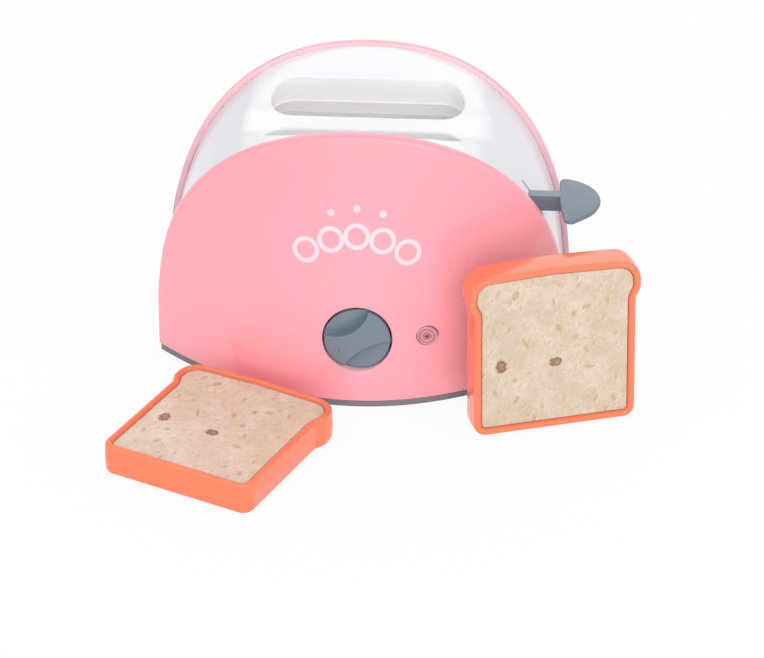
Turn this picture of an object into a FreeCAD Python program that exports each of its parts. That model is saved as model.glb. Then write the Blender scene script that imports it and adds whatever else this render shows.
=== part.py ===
import FreeCAD, Part
import math
import os

# Toy pop-up toaster with two loose bread slices.
# Millimetres. X runs along the toaster to the lever, Y runs from front to back, Z is up.
# The origin is the middle of the toaster's underside, on the floor.

V = FreeCAD.Vector
UP = V(0, 0, 1)
BACK = V(0, 1, 0)
RIGHT = V(1, 0, 0)

# --- outer form of the toaster ---
half_width = 102.0          # widest half, low on the sides
arch_foot_z = 5.0           # the arch springs from here
arch_rise = 132.1           # from there to the crown
side_fullness = 2.19        # superellipse power across
crown_fullness = 2.81       # superellipse power upwards
side_depth = 27.5           # face to middle plane, at the side edges
belly_depth = 48.5          # how far the face bows out at the floor
crown_flattening = 24.0     # how much of that bow is gone at the crown

# --- covers ---
cover_wall = 2.4
cover_rim_depth = 4.0       # how far the rim turns back, along Y
cover_rim_width = 3.0
cover_edge_bevel = 1.7
cover_bottom_z = 4.0
cover_screw_heights = (15.0, 88.0)
cover_screw_edge = 18.0     # from the arch's outline in to a cover screw
boss_radius = 4.0
boss_length = 6.6
tab_thickness = 5.0
tab_reach = 7.0             # tab half size around its screw
screw_well_radius = 3.7

# --- white body ---
rim_step = 3.3              # white sides sit this far inside the covers' rims
panel_step = 2.3            # the top panel stands prouder than the sides
body_wall = 2.4
seam_past_guide = 8.0       # least distance from the guide rods out to the side panels' seam
seam_over_dish = 1.9        # the seam lies where the arch is this far above the flat strip
seam_gap = 0.1
ledge_width = 4.5
ledge_depth = 40.0          # how far below the dish the ledge reaches
seat_gap = 0.3

# --- dished top and bread slots ---
dish_drop = 22.1            # from the crown down to the flat strip between the slots
dish_flat = 7.0             # half width of that strip
dish_bend_radius = 34.0
dish_slope_deg = 30.0
slot_length = 96.0
slot_width = 21.0
slot_middle_y = 18.1
collar_drop = 7.5           # the slots' own walls hang this far below the flat strip
collar_wall = 1.5
chute_wall = 1.5
chute_step = 0.6            # the chutes below are this much narrower all round
chute_bottom_z = 19.0
tray_slot_width = 8.4

# --- base ---
base_height = 3.7
base_inset = 1.0
base_tongue = 4.5
base_tongue_wall = 2.0

# --- bread lift ---
lever_travel = 20.0
tray_z = 47.0               # top of the bread rests, lever up
tray_width = 13.0
tray_thickness = 2.6
tray_neck_width = 7.0
end_plate_clearance = 4.1   # from a chute's end to the lift's end plate
end_plate_thickness = 2.6
end_plate_half_y = 26.5
end_plate_drop = 7.0
end_plate_rise = 12.0
guide_past_plate = 4.0      # from an end plate's inner face to the guide rod's middle
guide_rod_radius = 2.0
guide_bush_radius = 4.4
guide_bush_length = 16.0
guide_clearance = 0.1
rod_socket_wall = 2.0
rod_socket_height = 6.0
spring_radius = 3.4
spring_wire_radius = 0.45
spring_turns = 7
spring_steps = 12           # flats per turn
lever_y = -23.0
lever_arm_thickness = 6.0
lever_arm_height = 8.0
lever_arm_top = 93.3
lever_arm_end_x = 106.0
lever_slot_gap = 0.4
lever_slit_above = 5.0      # a narrow slit runs on above the slot
lever_slit_width = 2.4
lever_slit_y = -20.2
paddle_inner_x = 96.2
paddle_rear_y = -8.7
paddle_length = 46.5        # from its rear edge to its front tip
paddle_width = 20.4
paddle_sweep = 5.7          # its inner edge runs outwards towards the front, clear of the front cover
paddle_thickness = 7.0
paddle_skin = 0.8           # over the arm's top
paddle_top_bevel = 1.5
paddle_under_bevel = 2.4

# --- latch that holds the lift down ---
latch_past_guide = 13.0
latch_pivot_z = 15.0
latch_half_y = 4.0
latch_pin_radius = 1.5
latch_clearance = 0.1
latch_lift = 1.5            # nose above the held catch, so that it can swing in
latch_ear_thickness = 2.5
catch_reach = 5.5
catch_z = 55.0

# --- timer and lamp ---
knob_x = 1.0
knob_z = 37.4
knob_radius = 16.1
knob_gap = 1.15
knob_front_y = -74.0
knob_depth = 8.0
knob_grip_half = 5.0        # half width of the slanting grip between the two scoops
knob_scoops = ((121.0, 18.0), (-55.0, 33.0))  # direction and radius of each
knob_scoop_depth = 4.6      # deepest at the grip
knob_scoop_shallow = 0.6    # left at the rim
knob_edge_bevel = 0.8
knob_dimple_radius = 1.3
knob_dimple_reach = 12.2
knob_dimple_direction = 214.0
knob_socket = 2.6           # how deep the shaft sits in it
shaft_radius = 3.0
shaft_clearance = 0.08
timer_radius = 20.0
timer_depth = 20.0
timer_ear = 3.6             # radius of its two screw ears
lamp_x = 34.7
lamp_z = 38.0
lamp_radius = 5.2
lamp_flange_radius = 6.8
lamp_clearance = 0.15
lamp_proud = 0.9
led_radius = 2.5
board_size = (24.0, 1.6, 20.0)

# --- batteries ---
cell_radius = 7.1
cell_length = 49.5
cell_gap = 0.6
battery_y = 50.0
box_wall = 1.6
door_thickness = 2.0
door_bottom_z = 0.2
door_gap = 0.3
bay_ledge = 1.5
bay_boss_radius = 2.3
door_screw_head = 1.2

# --- fasteners ---
screw_radius = 1.4
screw_hole_gap = 0.15
screw_head_radius = 2.9
screw_head_height = 2.0

# --- bread slices ---
slice_width = 80.8
slice_height = 86.0
slice_thickness = 16.2
slice_ear_height = 21.5
slice_ear_reach = 2.7
slice_corner_radius = 5.8
slice_crown_rise = 1.6
slice_crown_radius = 60.0
slice_rim = 3.7
slice_ledge = 1.3
slice_face_recess = 0.7
slice_face_thickness = 1.2
slice_face_gap = 0.15
slice_draft = 0.43          # extra half width at the middle of the crust
standing_at = (98.1, -88.6)
standing_yaw = 17.8
lying_at = (-78.8, -159.0)
lying_yaw = -24.7

arch_top_z = arch_foot_z + arch_rise
dish_z = arch_top_z - dish_drop
collar_bottom_z = dish_z - collar_drop
chute_half_length = slot_length / 2 - chute_step + chute_wall
end_plate_x = chute_half_length + end_plate_clearance
guide_x = end_plate_x + guide_past_plate
latch_pivot = (guide_x + latch_past_guide, latch_pivot_z)
far = 400.0


def belly(z):
    """How far the face bows out beyond the side depth, at height z."""
    return belly_depth - crown_flattening * (z / arch_top_z) ** 2


def face_y(x, z):
    """Distance of the front face from the middle plane."""
    return side_depth + belly(z) * (1 - (x / half_width) ** 2)


def arch_half(z, inset=0.0):
    """Half width of the arch outline at height z."""
    rise = max(0.0, min(1.0, (z - arch_foot_z) / (arch_rise - inset)))
    return (half_width - inset) * (1 - rise ** crown_fullness) ** (1 / side_fullness)


def seam():
    """Where the top panel meets the side panels."""
    return max(guide_x + seam_past_guide, arch_half(dish_z + seam_over_dish))


def box(x0, x1, y0, y1, z0, z1):
    return Part.makeBox(x1 - x0, y1 - y0, z1 - z0, V(x0, y0, z0))


def rod(x, y, z, radius, length, along):
    return Part.makeCylinder(radius, length, V(x, y, z), along)


def save(name, *solids):
    """Write one node; several pieces of a kind go in as separate solids."""
    found = [s for shape in solids for s in shape.Solids]
    shape = found[0] if len(found) == 1 else Part.makeCompound(found)
    os.makedirs("parts", exist_ok=True)
    shape.exportStep("parts/" + name + ".step")


def mirror_x(shape):
    return shape.mirror(V(0, 0, 0), RIGHT)


def mirror_y(shape):
    return shape.mirror(V(0, 0, 0), BACK)


def face_surface(setback, x_reach=half_width + 10.0, z_low=-10.0, z_high=arch_top_z + 10.0):
    """The bowed front face, moved back by setback: an exact biquadratic patch."""
    poles = []
    for xa, xb in ((-x_reach, -x_reach), (-x_reach, x_reach), (x_reach, x_reach)):
        across = 1 - xa * xb / half_width ** 2
        row = []
        for za, zb in ((z_low, z_low), (z_low, z_high), (z_high, z_high)):
            up = belly_depth - crown_flattening * za * zb / arch_top_z ** 2
            row.append(V((xa + xb) / 2, setback - side_depth - up * across, (za + zb) / 2))
        poles.append(row)
    patch = Part.BezierSurface()
    patch.increase(2, 2)
    for i, row in enumerate(poles):
        for j, pole in enumerate(row):
            patch.setPole(i + 1, j + 1, pole)
    return patch.toShape()


def behind_face(setback, depth=far):
    """All space from the moved face back through depth."""
    return face_surface(setback).extrude(V(0, depth, 0))


def core(setback):
    """Space between the front and rear faces, each moved in by setback."""
    front = behind_face(setback, far)
    return front.common(mirror_y(front))


def arch_prism(inset, foot_z, steps=18):
    """The arch outline drawn inwards by inset, carried through the whole depth."""
    wide = half_width - inset
    rise = arch_rise - inset
    points = []
    for i in range(steps + 1):
        turn = math.pi * i / steps
        across = math.copysign(abs(math.cos(turn)) ** (2 / side_fullness), math.cos(turn))
        up = abs(math.sin(turn)) ** (2 / crown_fullness)
        points.append(V(wide * across, -far / 2, arch_foot_z + rise * up))
    curve = Part.BSplineCurve()
    curve.interpolate(Points=points, InitialTangent=UP, FinalTangent=-UP)
    left_foot = V(-wide, -far / 2, foot_z)
    right_foot = V(wide, -far / 2, foot_z)
    edges = [
        curve.toShape(),
        Part.makeLine(points[-1], left_foot),
        Part.makeLine(left_foot, right_foot),
        Part.makeLine(right_foot, points[0]),
    ]
    return Part.Face(Part.Wire(edges)).extrude(V(0, far, 0))


def stadium(length, width, z0, z1, y_middle):
    """A slot shape with round ends, standing from z0 to z1."""
    half = (length - width) / 2
    radius = width / 2
    solid = box(-half, half, y_middle - radius, y_middle + radius, z0, z1)
    for x in (-half, half):
        solid = solid.fuse(rod(x, y_middle, z0, radius, z1 - z0, UP))
    return solid.removeSplitter()


def above_dish(drop):
    """Space above the dished top, lowered by drop: flat strip, bends, then straight slopes."""
    slope = math.radians(dish_slope_deg)
    bend_y = dish_flat + dish_bend_radius * math.sin(slope)
    bend_z = dish_bend_radius * (1 - math.cos(slope))
    mid_y = dish_flat + dish_bend_radius * math.sin(slope / 2)
    mid_z = dish_bend_radius * (1 - math.cos(slope / 2))
    reach = arch_top_z
    z = dish_z - drop
    end_z = z + bend_z + reach * math.tan(slope)

    def at(side, y, dz):
        return V(-half_width, side * y, z + dz)

    edges = [Part.makeLine(at(-1, dish_flat, 0), at(1, dish_flat, 0))]
    for side in (1, -1):
        edges.append(Part.Arc(at(side, dish_flat, 0), at(side, mid_y, mid_z), at(side, bend_y, bend_z)).toShape())
        top = V(-half_width, side * (bend_y + reach), end_z)
        edges.append(Part.makeLine(at(side, bend_y, bend_z), top))
    edges.append(Part.makeLine(V(-half_width, -bend_y - reach, end_z), V(-half_width, bend_y + reach, end_z)))
    outline = Part.Wire(Part.__sortEdges__(edges))
    return Part.Face(outline).extrude(V(2 * half_width, 0, 0))


def plan_prism(inset, z0, z1):
    """The lens shaped outline of the toaster at the floor, drawn in by inset."""
    wide = half_width - inset
    side = side_depth + belly_depth * (1 - (wide / half_width) ** 2) - inset
    peak = side_depth + belly_depth * (1 + (wide / half_width) ** 2) - inset
    corners = {}
    arcs = []
    for y_sign in (-1, 1):
        bow = Part.BezierCurve()
        left = V(-wide, y_sign * side, z0)
        right = V(wide, y_sign * side, z0)
        bow.setPoles([left, V(0, y_sign * peak, z0), right])
        arcs.append(bow.toShape())
        corners[y_sign] = (left, right)
    sides = [Part.makeLine(corners[-1][k], corners[1][k]) for k in (0, 1)]
    outline = Part.Wire(Part.__sortEdges__(arcs + sides))
    return Part.Face(outline).extrude(V(0, 0, z1 - z0))


def cover_screw_spots():
    """Places of the cover screws on one side, each the same distance in from the arch."""
    return [(arch_half(z) - cover_screw_edge, z) for z in cover_screw_heights]


def tab_front_y(x, z):
    """Where a cover's boss meets the body's screw tab."""
    return -(face_y(x, z) - cover_wall - boss_length)


# ---------------------------------------------------------------- covers

def blank_cover():
    """Bowed plate with a rim turned back round the arch, its outer edge bevelled."""
    block = arch_prism(0, cover_bottom_z).common(behind_face(0, cover_rim_depth))
    outer_edges = []
    for edge in block.Edges:
        middle = edge.valueAt((edge.FirstParameter + edge.LastParameter) / 2)
        on_face = abs(middle.y + face_y(middle.x, middle.z)) < 0.2
        if on_face and middle.z > cover_bottom_z + 1:
            outer_edges.append(edge)
    block = block.makeChamfer(cover_edge_bevel, outer_edges)
    hollow = arch_prism(cover_rim_width, cover_bottom_z - 10).common(behind_face(cover_wall))
    return block.cut(hollow)


def cover_bosses(well):
    """Posts inside a cover that meet the body's tabs; a well lets a screw in from outside."""
    added = []
    removed = []
    for x, z in cover_screw_spots():
        for side in (-1, 1):
            tip = tab_front_y(x, z)
            start = -face_y(x, z) + cover_wall / 2
            radius = boss_radius + (1.2 if well else 0)
            added.append(rod(side * x, start - 8, z, radius, tip - start + 8, BACK))
            hole = screw_radius + screw_hole_gap if well else screw_radius + 0.05
            removed.append(rod(side * x, start if not well else start - 20, z, hole, tip - start + 21, BACK))
            if well:
                depth = tip - cover_wall - (start - 20)
                removed.append(rod(side * x, start - 20, z, screw_well_radius, depth, BACK))
    inside = arch_prism(cover_rim_width / 2, cover_bottom_z).common(behind_face(cover_wall / 2))
    return [post.common(inside) for post in added], removed


def make_front_cover():
    cover = blank_cover()
    posts, holes = cover_bosses(False)
    cover = cover.fuse(posts)
    lamp_socket = rod(lamp_x, -face_y(lamp_x, lamp_z) + 1, lamp_z, lamp_flange_radius + 1.6, 8, BACK)
    lamp_socket = lamp_socket.common(behind_face(cover_wall / 2))
    cover = cover.fuse(lamp_socket)
    holes.append(rod(knob_x, -far / 2, knob_z, knob_radius + knob_gap, far / 2, BACK))
    holes.append(rod(lamp_x, -far / 2, lamp_z, lamp_radius + lamp_clearance, far / 2, BACK))
    seat_y = lamp_seat_y()
    holes.append(rod(lamp_x, seat_y, lamp_z, lamp_flange_radius + lamp_clearance, 30, BACK))
    cover = cover.cut(holes)
    return cover.fuse(timer_mount()).removeSplitter()


def timer_mount():
    """Tube behind the knob's hole and two posts, carried to the timer's front."""
    front = timer_front_y()
    outer = rod(knob_x, -far / 2, knob_z, knob_radius + knob_gap + 1.6, far / 2 + front, BACK)
    inner = rod(knob_x, -far / 2, knob_z, knob_radius + knob_gap, far / 2, BACK)
    posts = [rod(knob_x, -far / 2, z, timer_ear, far / 2 + front, BACK) for z in timer_ear_z()]
    mount = outer.fuse(posts).common(behind_face(cover_wall / 2)).cut(inner)
    return mount.cut([rod(knob_x, front - 5, z, screw_radius + 0.05, 10, BACK) for z in timer_ear_z()])


def timer_ear_z():
    """Heights of the timer's two screws."""
    reach = timer_radius + 1.6
    return knob_z - reach, knob_z + reach


def timer_front_y():
    return knob_front_y + knob_depth + 3.0


def lamp_seat_y():
    return -face_y(lamp_x, lamp_z) + cover_wall + 0.6


def make_rear_cover():
    cover = blank_cover()
    posts, holes = cover_bosses(True)
    cover = cover.fuse(posts).cut(holes)
    return mirror_y(cover.removeSplitter())


# ---------------------------------------------------------------- white body

def body_ring(inset, foot_z):
    shell = arch_prism(inset, foot_z).cut(arch_prism(inset + body_wall, foot_z - 10))
    return shell


def screw_tabs(side, wall_side):
    """Tabs inside a side panel for the cover screws, at the front (-1) or the rear (1)."""
    tabs = []
    holes = []
    for x, z in cover_screw_spots():
        y = tab_front_y(x, z)
        thickness = tab_thickness if side < 0 else 2 * tab_thickness
        tab = box(x - tab_reach, half_width, y, y + thickness, z - tab_reach, z + tab_reach)
        tab = tab.common(arch_prism(rim_step + body_wall / 2, cover_bottom_z))
        tab = tab.common(core(cover_wall + seat_gap))
        hole_radius = screw_radius + (screw_hole_gap if side < 0 else 0.05)
        hole = rod(x, y - 1, z, hole_radius, thickness + 2, BACK)
        if side > 0:
            tab, hole = mirror_y(tab), mirror_y(hole)
        if wall_side < 0:
            tab, hole = mirror_x(tab), mirror_x(hole)
        tabs.append(tab)
        holes.append(hole)
    return tabs, holes


def side_panel(wall_side):
    """White side wall: follows the arch, with a ledge that carries the top panel."""
    foot = base_height + seat_gap
    inside_covers = core(cover_wall + seat_gap)
    wall = body_ring(rim_step, foot).common(box(seam() + seam_gap / 2, half_width, -far, far, 0, far))
    ledge_outer = panel_step + body_wall + seat_gap
    ledge = arch_prism(ledge_outer, foot).cut(arch_prism(ledge_outer + body_wall, foot - 10))
    ledge = ledge.common(box(seam() - ledge_width, seam() + ledge_width, -far, far, dish_z - ledge_depth, far))
    ledge = ledge.cut(above_dish(body_wall + seat_gap))
    notch = guide_rod_radius + rod_socket_wall + seat_gap
    ledge = ledge.cut(box(0, guide_x + notch, -notch, notch, 0, far))
    panel = wall.fuse(ledge).common(inside_covers)
    flange = plan_prism(base_inset + base_tongue_wall + 2.0, foot, foot + body_wall)
    flange = flange.common(box(half_width - 24, half_width - rim_step - 1, -16, 16, 0, far))
    panel = panel.fuse(flange)
    if wall_side < 0:
        panel = mirror_x(panel)
    holes = []
    for side in (-1, 1):
        tabs, tab_holes = screw_tabs(side, wall_side)
        panel = panel.fuse(tabs)
        holes += tab_holes
    holes.append(rod(wall_side * base_screw_x(), 0, 0, screw_radius + 0.05, 20, UP))
    if wall_side > 0:
        gap = lever_arm_thickness / 2 + lever_slot_gap
        bottom = lever_arm_top - lever_arm_height - lever_travel - lever_slot_gap
        top = lever_arm_top + lever_slot_gap
        holes.append(box(seam(), far, lever_y - gap, lever_y + gap, bottom, top))
        slit = lever_slit_width / 2
        holes.append(box(seam(), far, lever_slit_y - slit, lever_slit_y + slit, bottom, top + lever_slit_above))
    return panel.cut(holes).removeSplitter()


def base_screw_x():
    return half_width - 17.0


def make_top_panel():
    """Dished panel with two bread slots, following the arch at its ends."""
    reach = seam() - seam_gap / 2
    middle = box(-reach, reach, -far, far, dish_z - 25, far)
    outer = arch_prism(panel_step, 0).cut(above_dish(0)).common(middle)
    inner = arch_prism(panel_step + body_wall, -10).cut(above_dish(body_wall))
    panel = outer.cut(inner).common(core(cover_wall + seat_gap))
    rims = arch_prism(0, 0).cut(arch_prism(rim_step, -10)).cut(core(cover_rim_depth + seat_gap))
    panel = panel.cut(rims)
    for y in (-slot_middle_y, slot_middle_y):
        long, wide = slot_length + 2 * collar_wall, slot_width + 2 * collar_wall
        collar = stadium(long, wide, collar_bottom_z, arch_top_z, y).cut(above_dish(body_wall / 2))
        panel = panel.fuse(collar)
    for y in (-slot_middle_y, slot_middle_y):
        panel = panel.cut(stadium(slot_length, slot_width, collar_bottom_z - 10, far, y))
    for x in (-guide_x, guide_x):
        socket = rod(x, 0, dish_z - rod_top_drop(), guide_rod_radius + rod_socket_wall, rod_top_drop(), UP)
        panel = panel.fuse(socket.cut(above_dish(body_wall / 2)))
        panel = panel.cut(rod(x, 0, dish_z - rod_top_drop() - 1, guide_rod_radius + 0.05, rod_top_drop() - 2, UP))
    return panel.removeSplitter()


def rod_top_drop():
    return rod_socket_height + body_wall + 2.0


# ---------------------------------------------------------------- bread chutes

def chute(y):
    """Open tube below a slot, with slots in its ends for the lift's necks."""
    bore_length = slot_length - 2 * chute_step
    bore_width = slot_width - 2 * chute_step
    top = collar_bottom_z - seat_gap
    outer = stadium(bore_length + 2 * chute_wall, bore_width + 2 * chute_wall, chute_bottom_z, top, y)
    bore = stadium(bore_length, bore_width, chute_bottom_z - 1, top + 1, y)
    tube = outer.cut(bore)
    neck_top = tray_z + seat_gap + 1
    neck = tray_slot_width / 2
    tube = tube.cut(box(-far, far, y - neck, y + neck, chute_bottom_z - 1, neck_top))
    return tube


# ---------------------------------------------------------------- base

def make_base_plate():
    plate = plan_prism(base_inset, 0, base_height)
    tongue_inset = cover_wall + 1.2
    tongue = plan_prism(base_inset + tongue_inset, base_height - 0.5, base_height + base_tongue)
    tongue = tongue.cut(plan_prism(base_inset + tongue_inset + base_tongue_wall, 0, far))
    keep_clear = box(half_width - 30, far, -side_depth - 6, side_depth + 6, base_height, far)
    tongue = tongue.cut(keep_clear).cut(mirror_x(keep_clear))
    x_half, y_half = door_half()
    tongue = tongue.cut(box(-x_half - box_wall - 1, x_half + box_wall + 1, battery_y, far, base_height, far))
    spots = []
    for x, z in cover_screw_spots():
        spots.append(box(x - tab_reach - 1, x + tab_reach + 1, -far, far, base_height, far))
    tongue = tongue.cut(spots + [mirror_x(s) for s in spots])
    plate = plate.fuse(tongue)
    for y in (-slot_middle_y, slot_middle_y):
        plate = plate.fuse(chute_foot(y))
    for x in (-guide_x, guide_x):
        socket = rod(x, 0, base_height - 0.5, guide_rod_radius + rod_socket_wall, rod_socket_height + 0.5, UP)
        plate = plate.fuse(socket)
        plate = plate.cut(rod(x, 0, 1.2, guide_rod_radius + 0.05, far, UP))
    plate = plate.fuse(latch_ears())
    plate = plate.cut(rod(latch_pivot[0], -far / 2, latch_pivot[1], latch_pin_radius + 0.05, far, BACK))
    x_half, y_half = door_half()
    plate = plate.cut(box(-x_half - door_gap, x_half + door_gap, battery_y - y_half - door_gap,
                          battery_y + y_half + door_gap, -1, door_bottom_z + door_thickness + door_gap))
    x_half, y_half = x_half - bay_ledge, y_half - bay_ledge
    plate = plate.cut(box(-x_half, x_half, battery_y - y_half, battery_y + y_half, -1, base_height + 1))
    for side in (-1, 1):
        plate = plate.cut(rod(side * base_screw_x(), 0, -1, screw_radius + screw_hole_gap, 10, UP))
        plate = plate.cut(rod(side * base_screw_x(), 0, -1, screw_head_radius + 0.4, 1 + screw_head_height + 0.3, UP))
    return plate.removeSplitter()


def chute_foot(y):
    """Two ribs under a chute's long walls."""
    rib_half = (slot_length - slot_width) / 2 - 4
    half = slot_width / 2 - chute_step + chute_wall
    ribs = []
    for side in (-1, 1):
        wall_y = y + side * (half - chute_wall / 2)
        low, high = wall_y - chute_wall / 2, wall_y + chute_wall / 2
        ribs.append(box(-rib_half, rib_half, low, high, base_height - 0.5, chute_bottom_z))
    return Part.makeCompound(ribs)


def latch_ears():
    x, z = latch_pivot
    ears = []
    for side in (-1, 1):
        inner = side * (latch_half_y + 0.3)
        outer = side * (latch_half_y + 0.3 + latch_ear_thickness)
        y0, y1 = min(inner, outer), max(inner, outer)
        ears.append(box(x - 4, x + 4, y0, y1, base_height - 0.5, z))
        ears.append(rod(x, y0, z, 4, y1 - y0, BACK))
    return ears


def door_half():
    """Half sizes of the battery door."""
    return cell_length / 2 + 7.0, 2 * cell_radius + cell_gap + 1.2


# ---------------------------------------------------------------- bread lift

def make_carriage():
    """Two bread rests on end plates, with guide bushes and a riser for the lever."""
    parts = []
    tray_low = tray_z - tray_thickness
    rest_half = slot_length / 2 - slot_width / 4
    plate_out = end_plate_x + end_plate_thickness
    for y in (-slot_middle_y, slot_middle_y):
        parts.append(box(-rest_half, rest_half, y - tray_width / 2, y + tray_width / 2, tray_low, tray_z))
        neck = tray_neck_width / 2
        parts.append(box(-plate_out + 1, plate_out - 1, y - neck, y + neck, tray_low, tray_z))
    low = tray_low - end_plate_drop
    high = tray_z + end_plate_rise
    for side in (-1, 1):
        plate = box(end_plate_x, plate_out, -end_plate_half_y, end_plate_half_y, low, high)
        bush = rod(guide_x, 0, low, guide_bush_radius, guide_bush_length, UP)
        web = box(end_plate_x, guide_x, -2, 2, low, low + guide_bush_length)
        corner = plate.fuse([bush, web])
        parts.append(corner if side > 0 else mirror_x(corner))
    half = lever_arm_thickness / 2 + 1.5
    parts.append(box(end_plate_x, plate_out, lever_y - half, lever_y + half, low, lever_arm_top))
    catch_low = catch_z - 2.4
    parts.append(box(end_plate_x, plate_out + catch_reach + 2.6, -3.4, 3.4, catch_low, catch_z))
    carriage = parts[0].fuse(parts[1:])
    for x in (-guide_x, guide_x):
        carriage = carriage.cut(rod(x, 0, 0, guide_rod_radius + guide_clearance, far, UP))
    return carriage.removeSplitter()


def make_lever_arm():
    """Bar from the lift's riser, out through the side panel's slot."""
    start = end_plate_x + end_plate_thickness
    half = lever_arm_thickness / 2
    bar = box(start, lever_arm_end_x, lever_y - half, lever_y + half, lever_arm_top - lever_arm_height, lever_arm_top)
    foot = box(start, start + 2.5, lever_y - half - 1.5, lever_y + half + 1.5,
               lever_arm_top - lever_arm_height - 8, lever_arm_top)
    return bar.fuse(foot).removeSplitter()


def make_paddle():
    """Thumb paddle: a blunt D in plan with softened edges, over the arm's end."""
    x, y = paddle_inner_x, paddle_rear_y
    top = lever_arm_top + paddle_skin
    wide, long = paddle_width, paddle_length
    corners = [
        (x, y, 4.4),
        (x, y - 0.44 * long, 20.0),
        (x + paddle_sweep, y - long, 3.2),
        (x + wide, y - 0.62 * long, 17.0),
        (x + wide, y - 0.3 * long, 17.0),
        (x + wide / 2, y, 11.0),
    ]
    outline = rounded(corners, lambda across, along: V(across, along, top - paddle_thickness))
    blade = Part.Face(outline).extrude(V(0, 0, paddle_thickness))
    upper = [e for e in blade.Edges if e.BoundBox.ZMin > top - 0.01]
    blade = blade.makeChamfer(paddle_top_bevel, upper)
    lower = [e for e in blade.Edges if e.BoundBox.ZMax < top - paddle_thickness + 0.01]
    blade = blade.makeChamfer(paddle_under_bevel, lower)
    half = lever_arm_thickness / 2
    pocket = box(x - 20, lever_arm_end_x, lever_y - half, lever_y + half,
                 lever_arm_top - lever_arm_height, lever_arm_top)
    return blade.cut(pocket)


def make_lift_spring(x):
    """Compression spring round a guide rod, between the base socket and the bush."""
    low = base_height + rod_socket_height + seat_gap
    high = tray_z - tray_thickness - end_plate_drop - seat_gap
    span = high - low - 2 * spring_wire_radius
    sections = []
    for i in range(spring_turns * spring_steps + 1):
        turn = 2 * math.pi * i / spring_steps
        z = low + spring_wire_radius + span * i / (spring_turns * spring_steps)
        outward = V(math.cos(turn), math.sin(turn), 0)
        middle = V(x, 0, z) + outward * spring_radius
        arms = [outward, UP, -outward, -UP, outward]
        sections.append(Part.makePolygon([middle + arm * spring_wire_radius for arm in arms]))
    return Part.makeLoft(sections, True, True)


# ---------------------------------------------------------------- latch

def make_latch_hook():
    """Upright hook on a cross pin; its nose swings in over the lift's catch."""
    x, z = latch_pivot
    latch_height = catch_z - lever_travel - z + latch_lift
    stem = box(x - 2, x + 2, -latch_half_y, latch_half_y, z, z + latch_height)
    hub = rod(x, -latch_half_y, z, 3.6, 2 * latch_half_y, BACK)
    nose_z = z + latch_height
    nose = Part.Face(Part.makePolygon([
        V(x + 2, -latch_half_y, nose_z),
        V(x - 4.5, -latch_half_y, nose_z),
        V(x - 4.5, -latch_half_y, nose_z + 1.0),
        V(x + 0.5, -latch_half_y, nose_z + 5.0),
        V(x + 2, -latch_half_y, nose_z + 5.0),
        V(x + 2, -latch_half_y, nose_z),
    ])).extrude(V(0, 2 * latch_half_y, 0))
    hook = stem.fuse([hub, nose])
    hook = hook.cut(rod(x, -far / 2, z, latch_pin_radius + latch_clearance, far, BACK))
    return hook.removeSplitter()


def make_latch_pin():
    x, z = latch_pivot
    half = latch_half_y + 0.3 + latch_ear_thickness
    return rod(x, -half, z, latch_pin_radius, 2 * half, BACK)


# ---------------------------------------------------------------- timer and lamp

def make_knob():
    """Round knob with two scoops that leave a slanting grip; each scoop rises to the rim."""
    disc = rod(knob_x, knob_front_y, knob_z, knob_radius, knob_depth, BACK)
    front = [e for e in disc.Edges if e.BoundBox.YMax < knob_front_y + 0.01]
    disc = disc.makeChamfer(knob_edge_bevel, front)
    scoops = []
    slope = (knob_scoop_depth - knob_scoop_shallow) / (knob_radius - knob_grip_half)
    for direction, radius in knob_scoops:
        turn = math.radians(direction)
        outwards = V(math.cos(turn), 0, math.sin(turn))
        middle = V(knob_x, 0, knob_z) + outwards * (knob_grip_half + radius)
        round_wall = rod(middle.x, knob_front_y - 5, middle.z, radius, 5 + knob_scoop_depth, BACK)
        floor = Part.makeBox(80, 80, 40, V(-40, -40, 0))
        foot = V(knob_x, knob_front_y + knob_scoop_depth, knob_z) + outwards * knob_grip_half
        normal = -(outwards * slope + BACK)
        floor.Placement = FreeCAD.Placement(foot, FreeCAD.Rotation(UP, normal)).multiply(floor.Placement)
        scoops.append(round_wall.common(floor))
    turn = math.radians(knob_dimple_direction)
    x = knob_x + knob_dimple_reach * math.cos(turn)
    z = knob_z + knob_dimple_reach * math.sin(turn)
    scoops.append(rod(x, knob_front_y - 1, z, knob_dimple_radius, 1.5, BACK))
    socket = rod(knob_x, knob_front_y + knob_depth - knob_socket, knob_z, shaft_radius, 10, BACK)
    return disc.cut(scoops).cut(socket)


def make_shaft():
    """Timer spindle, seated in the knob."""
    start = knob_front_y + knob_depth - knob_socket
    return rod(knob_x, start, knob_z, shaft_radius, timer_front_y() + 6.0 - start, BACK)


def make_timer_housing():
    """Closed clockwork box behind the knob, with two screw ears."""
    y = timer_front_y()
    can = rod(knob_x, y, knob_z, timer_radius, timer_depth, BACK)
    for z in timer_ear_z():
        can = can.fuse(rod(knob_x, y, z, timer_ear, 3, BACK))
    can = can.cut(rod(knob_x, y - 1, knob_z, shaft_radius + shaft_clearance, 8, BACK))
    for z in timer_ear_z():
        can = can.cut(rod(knob_x, y - 1, z, screw_radius + screw_hole_gap, 4.1, BACK))
        can = can.cut(rod(knob_x, y + 3, z, screw_head_radius + 0.3, 30, BACK))
    return can.removeSplitter()


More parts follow.
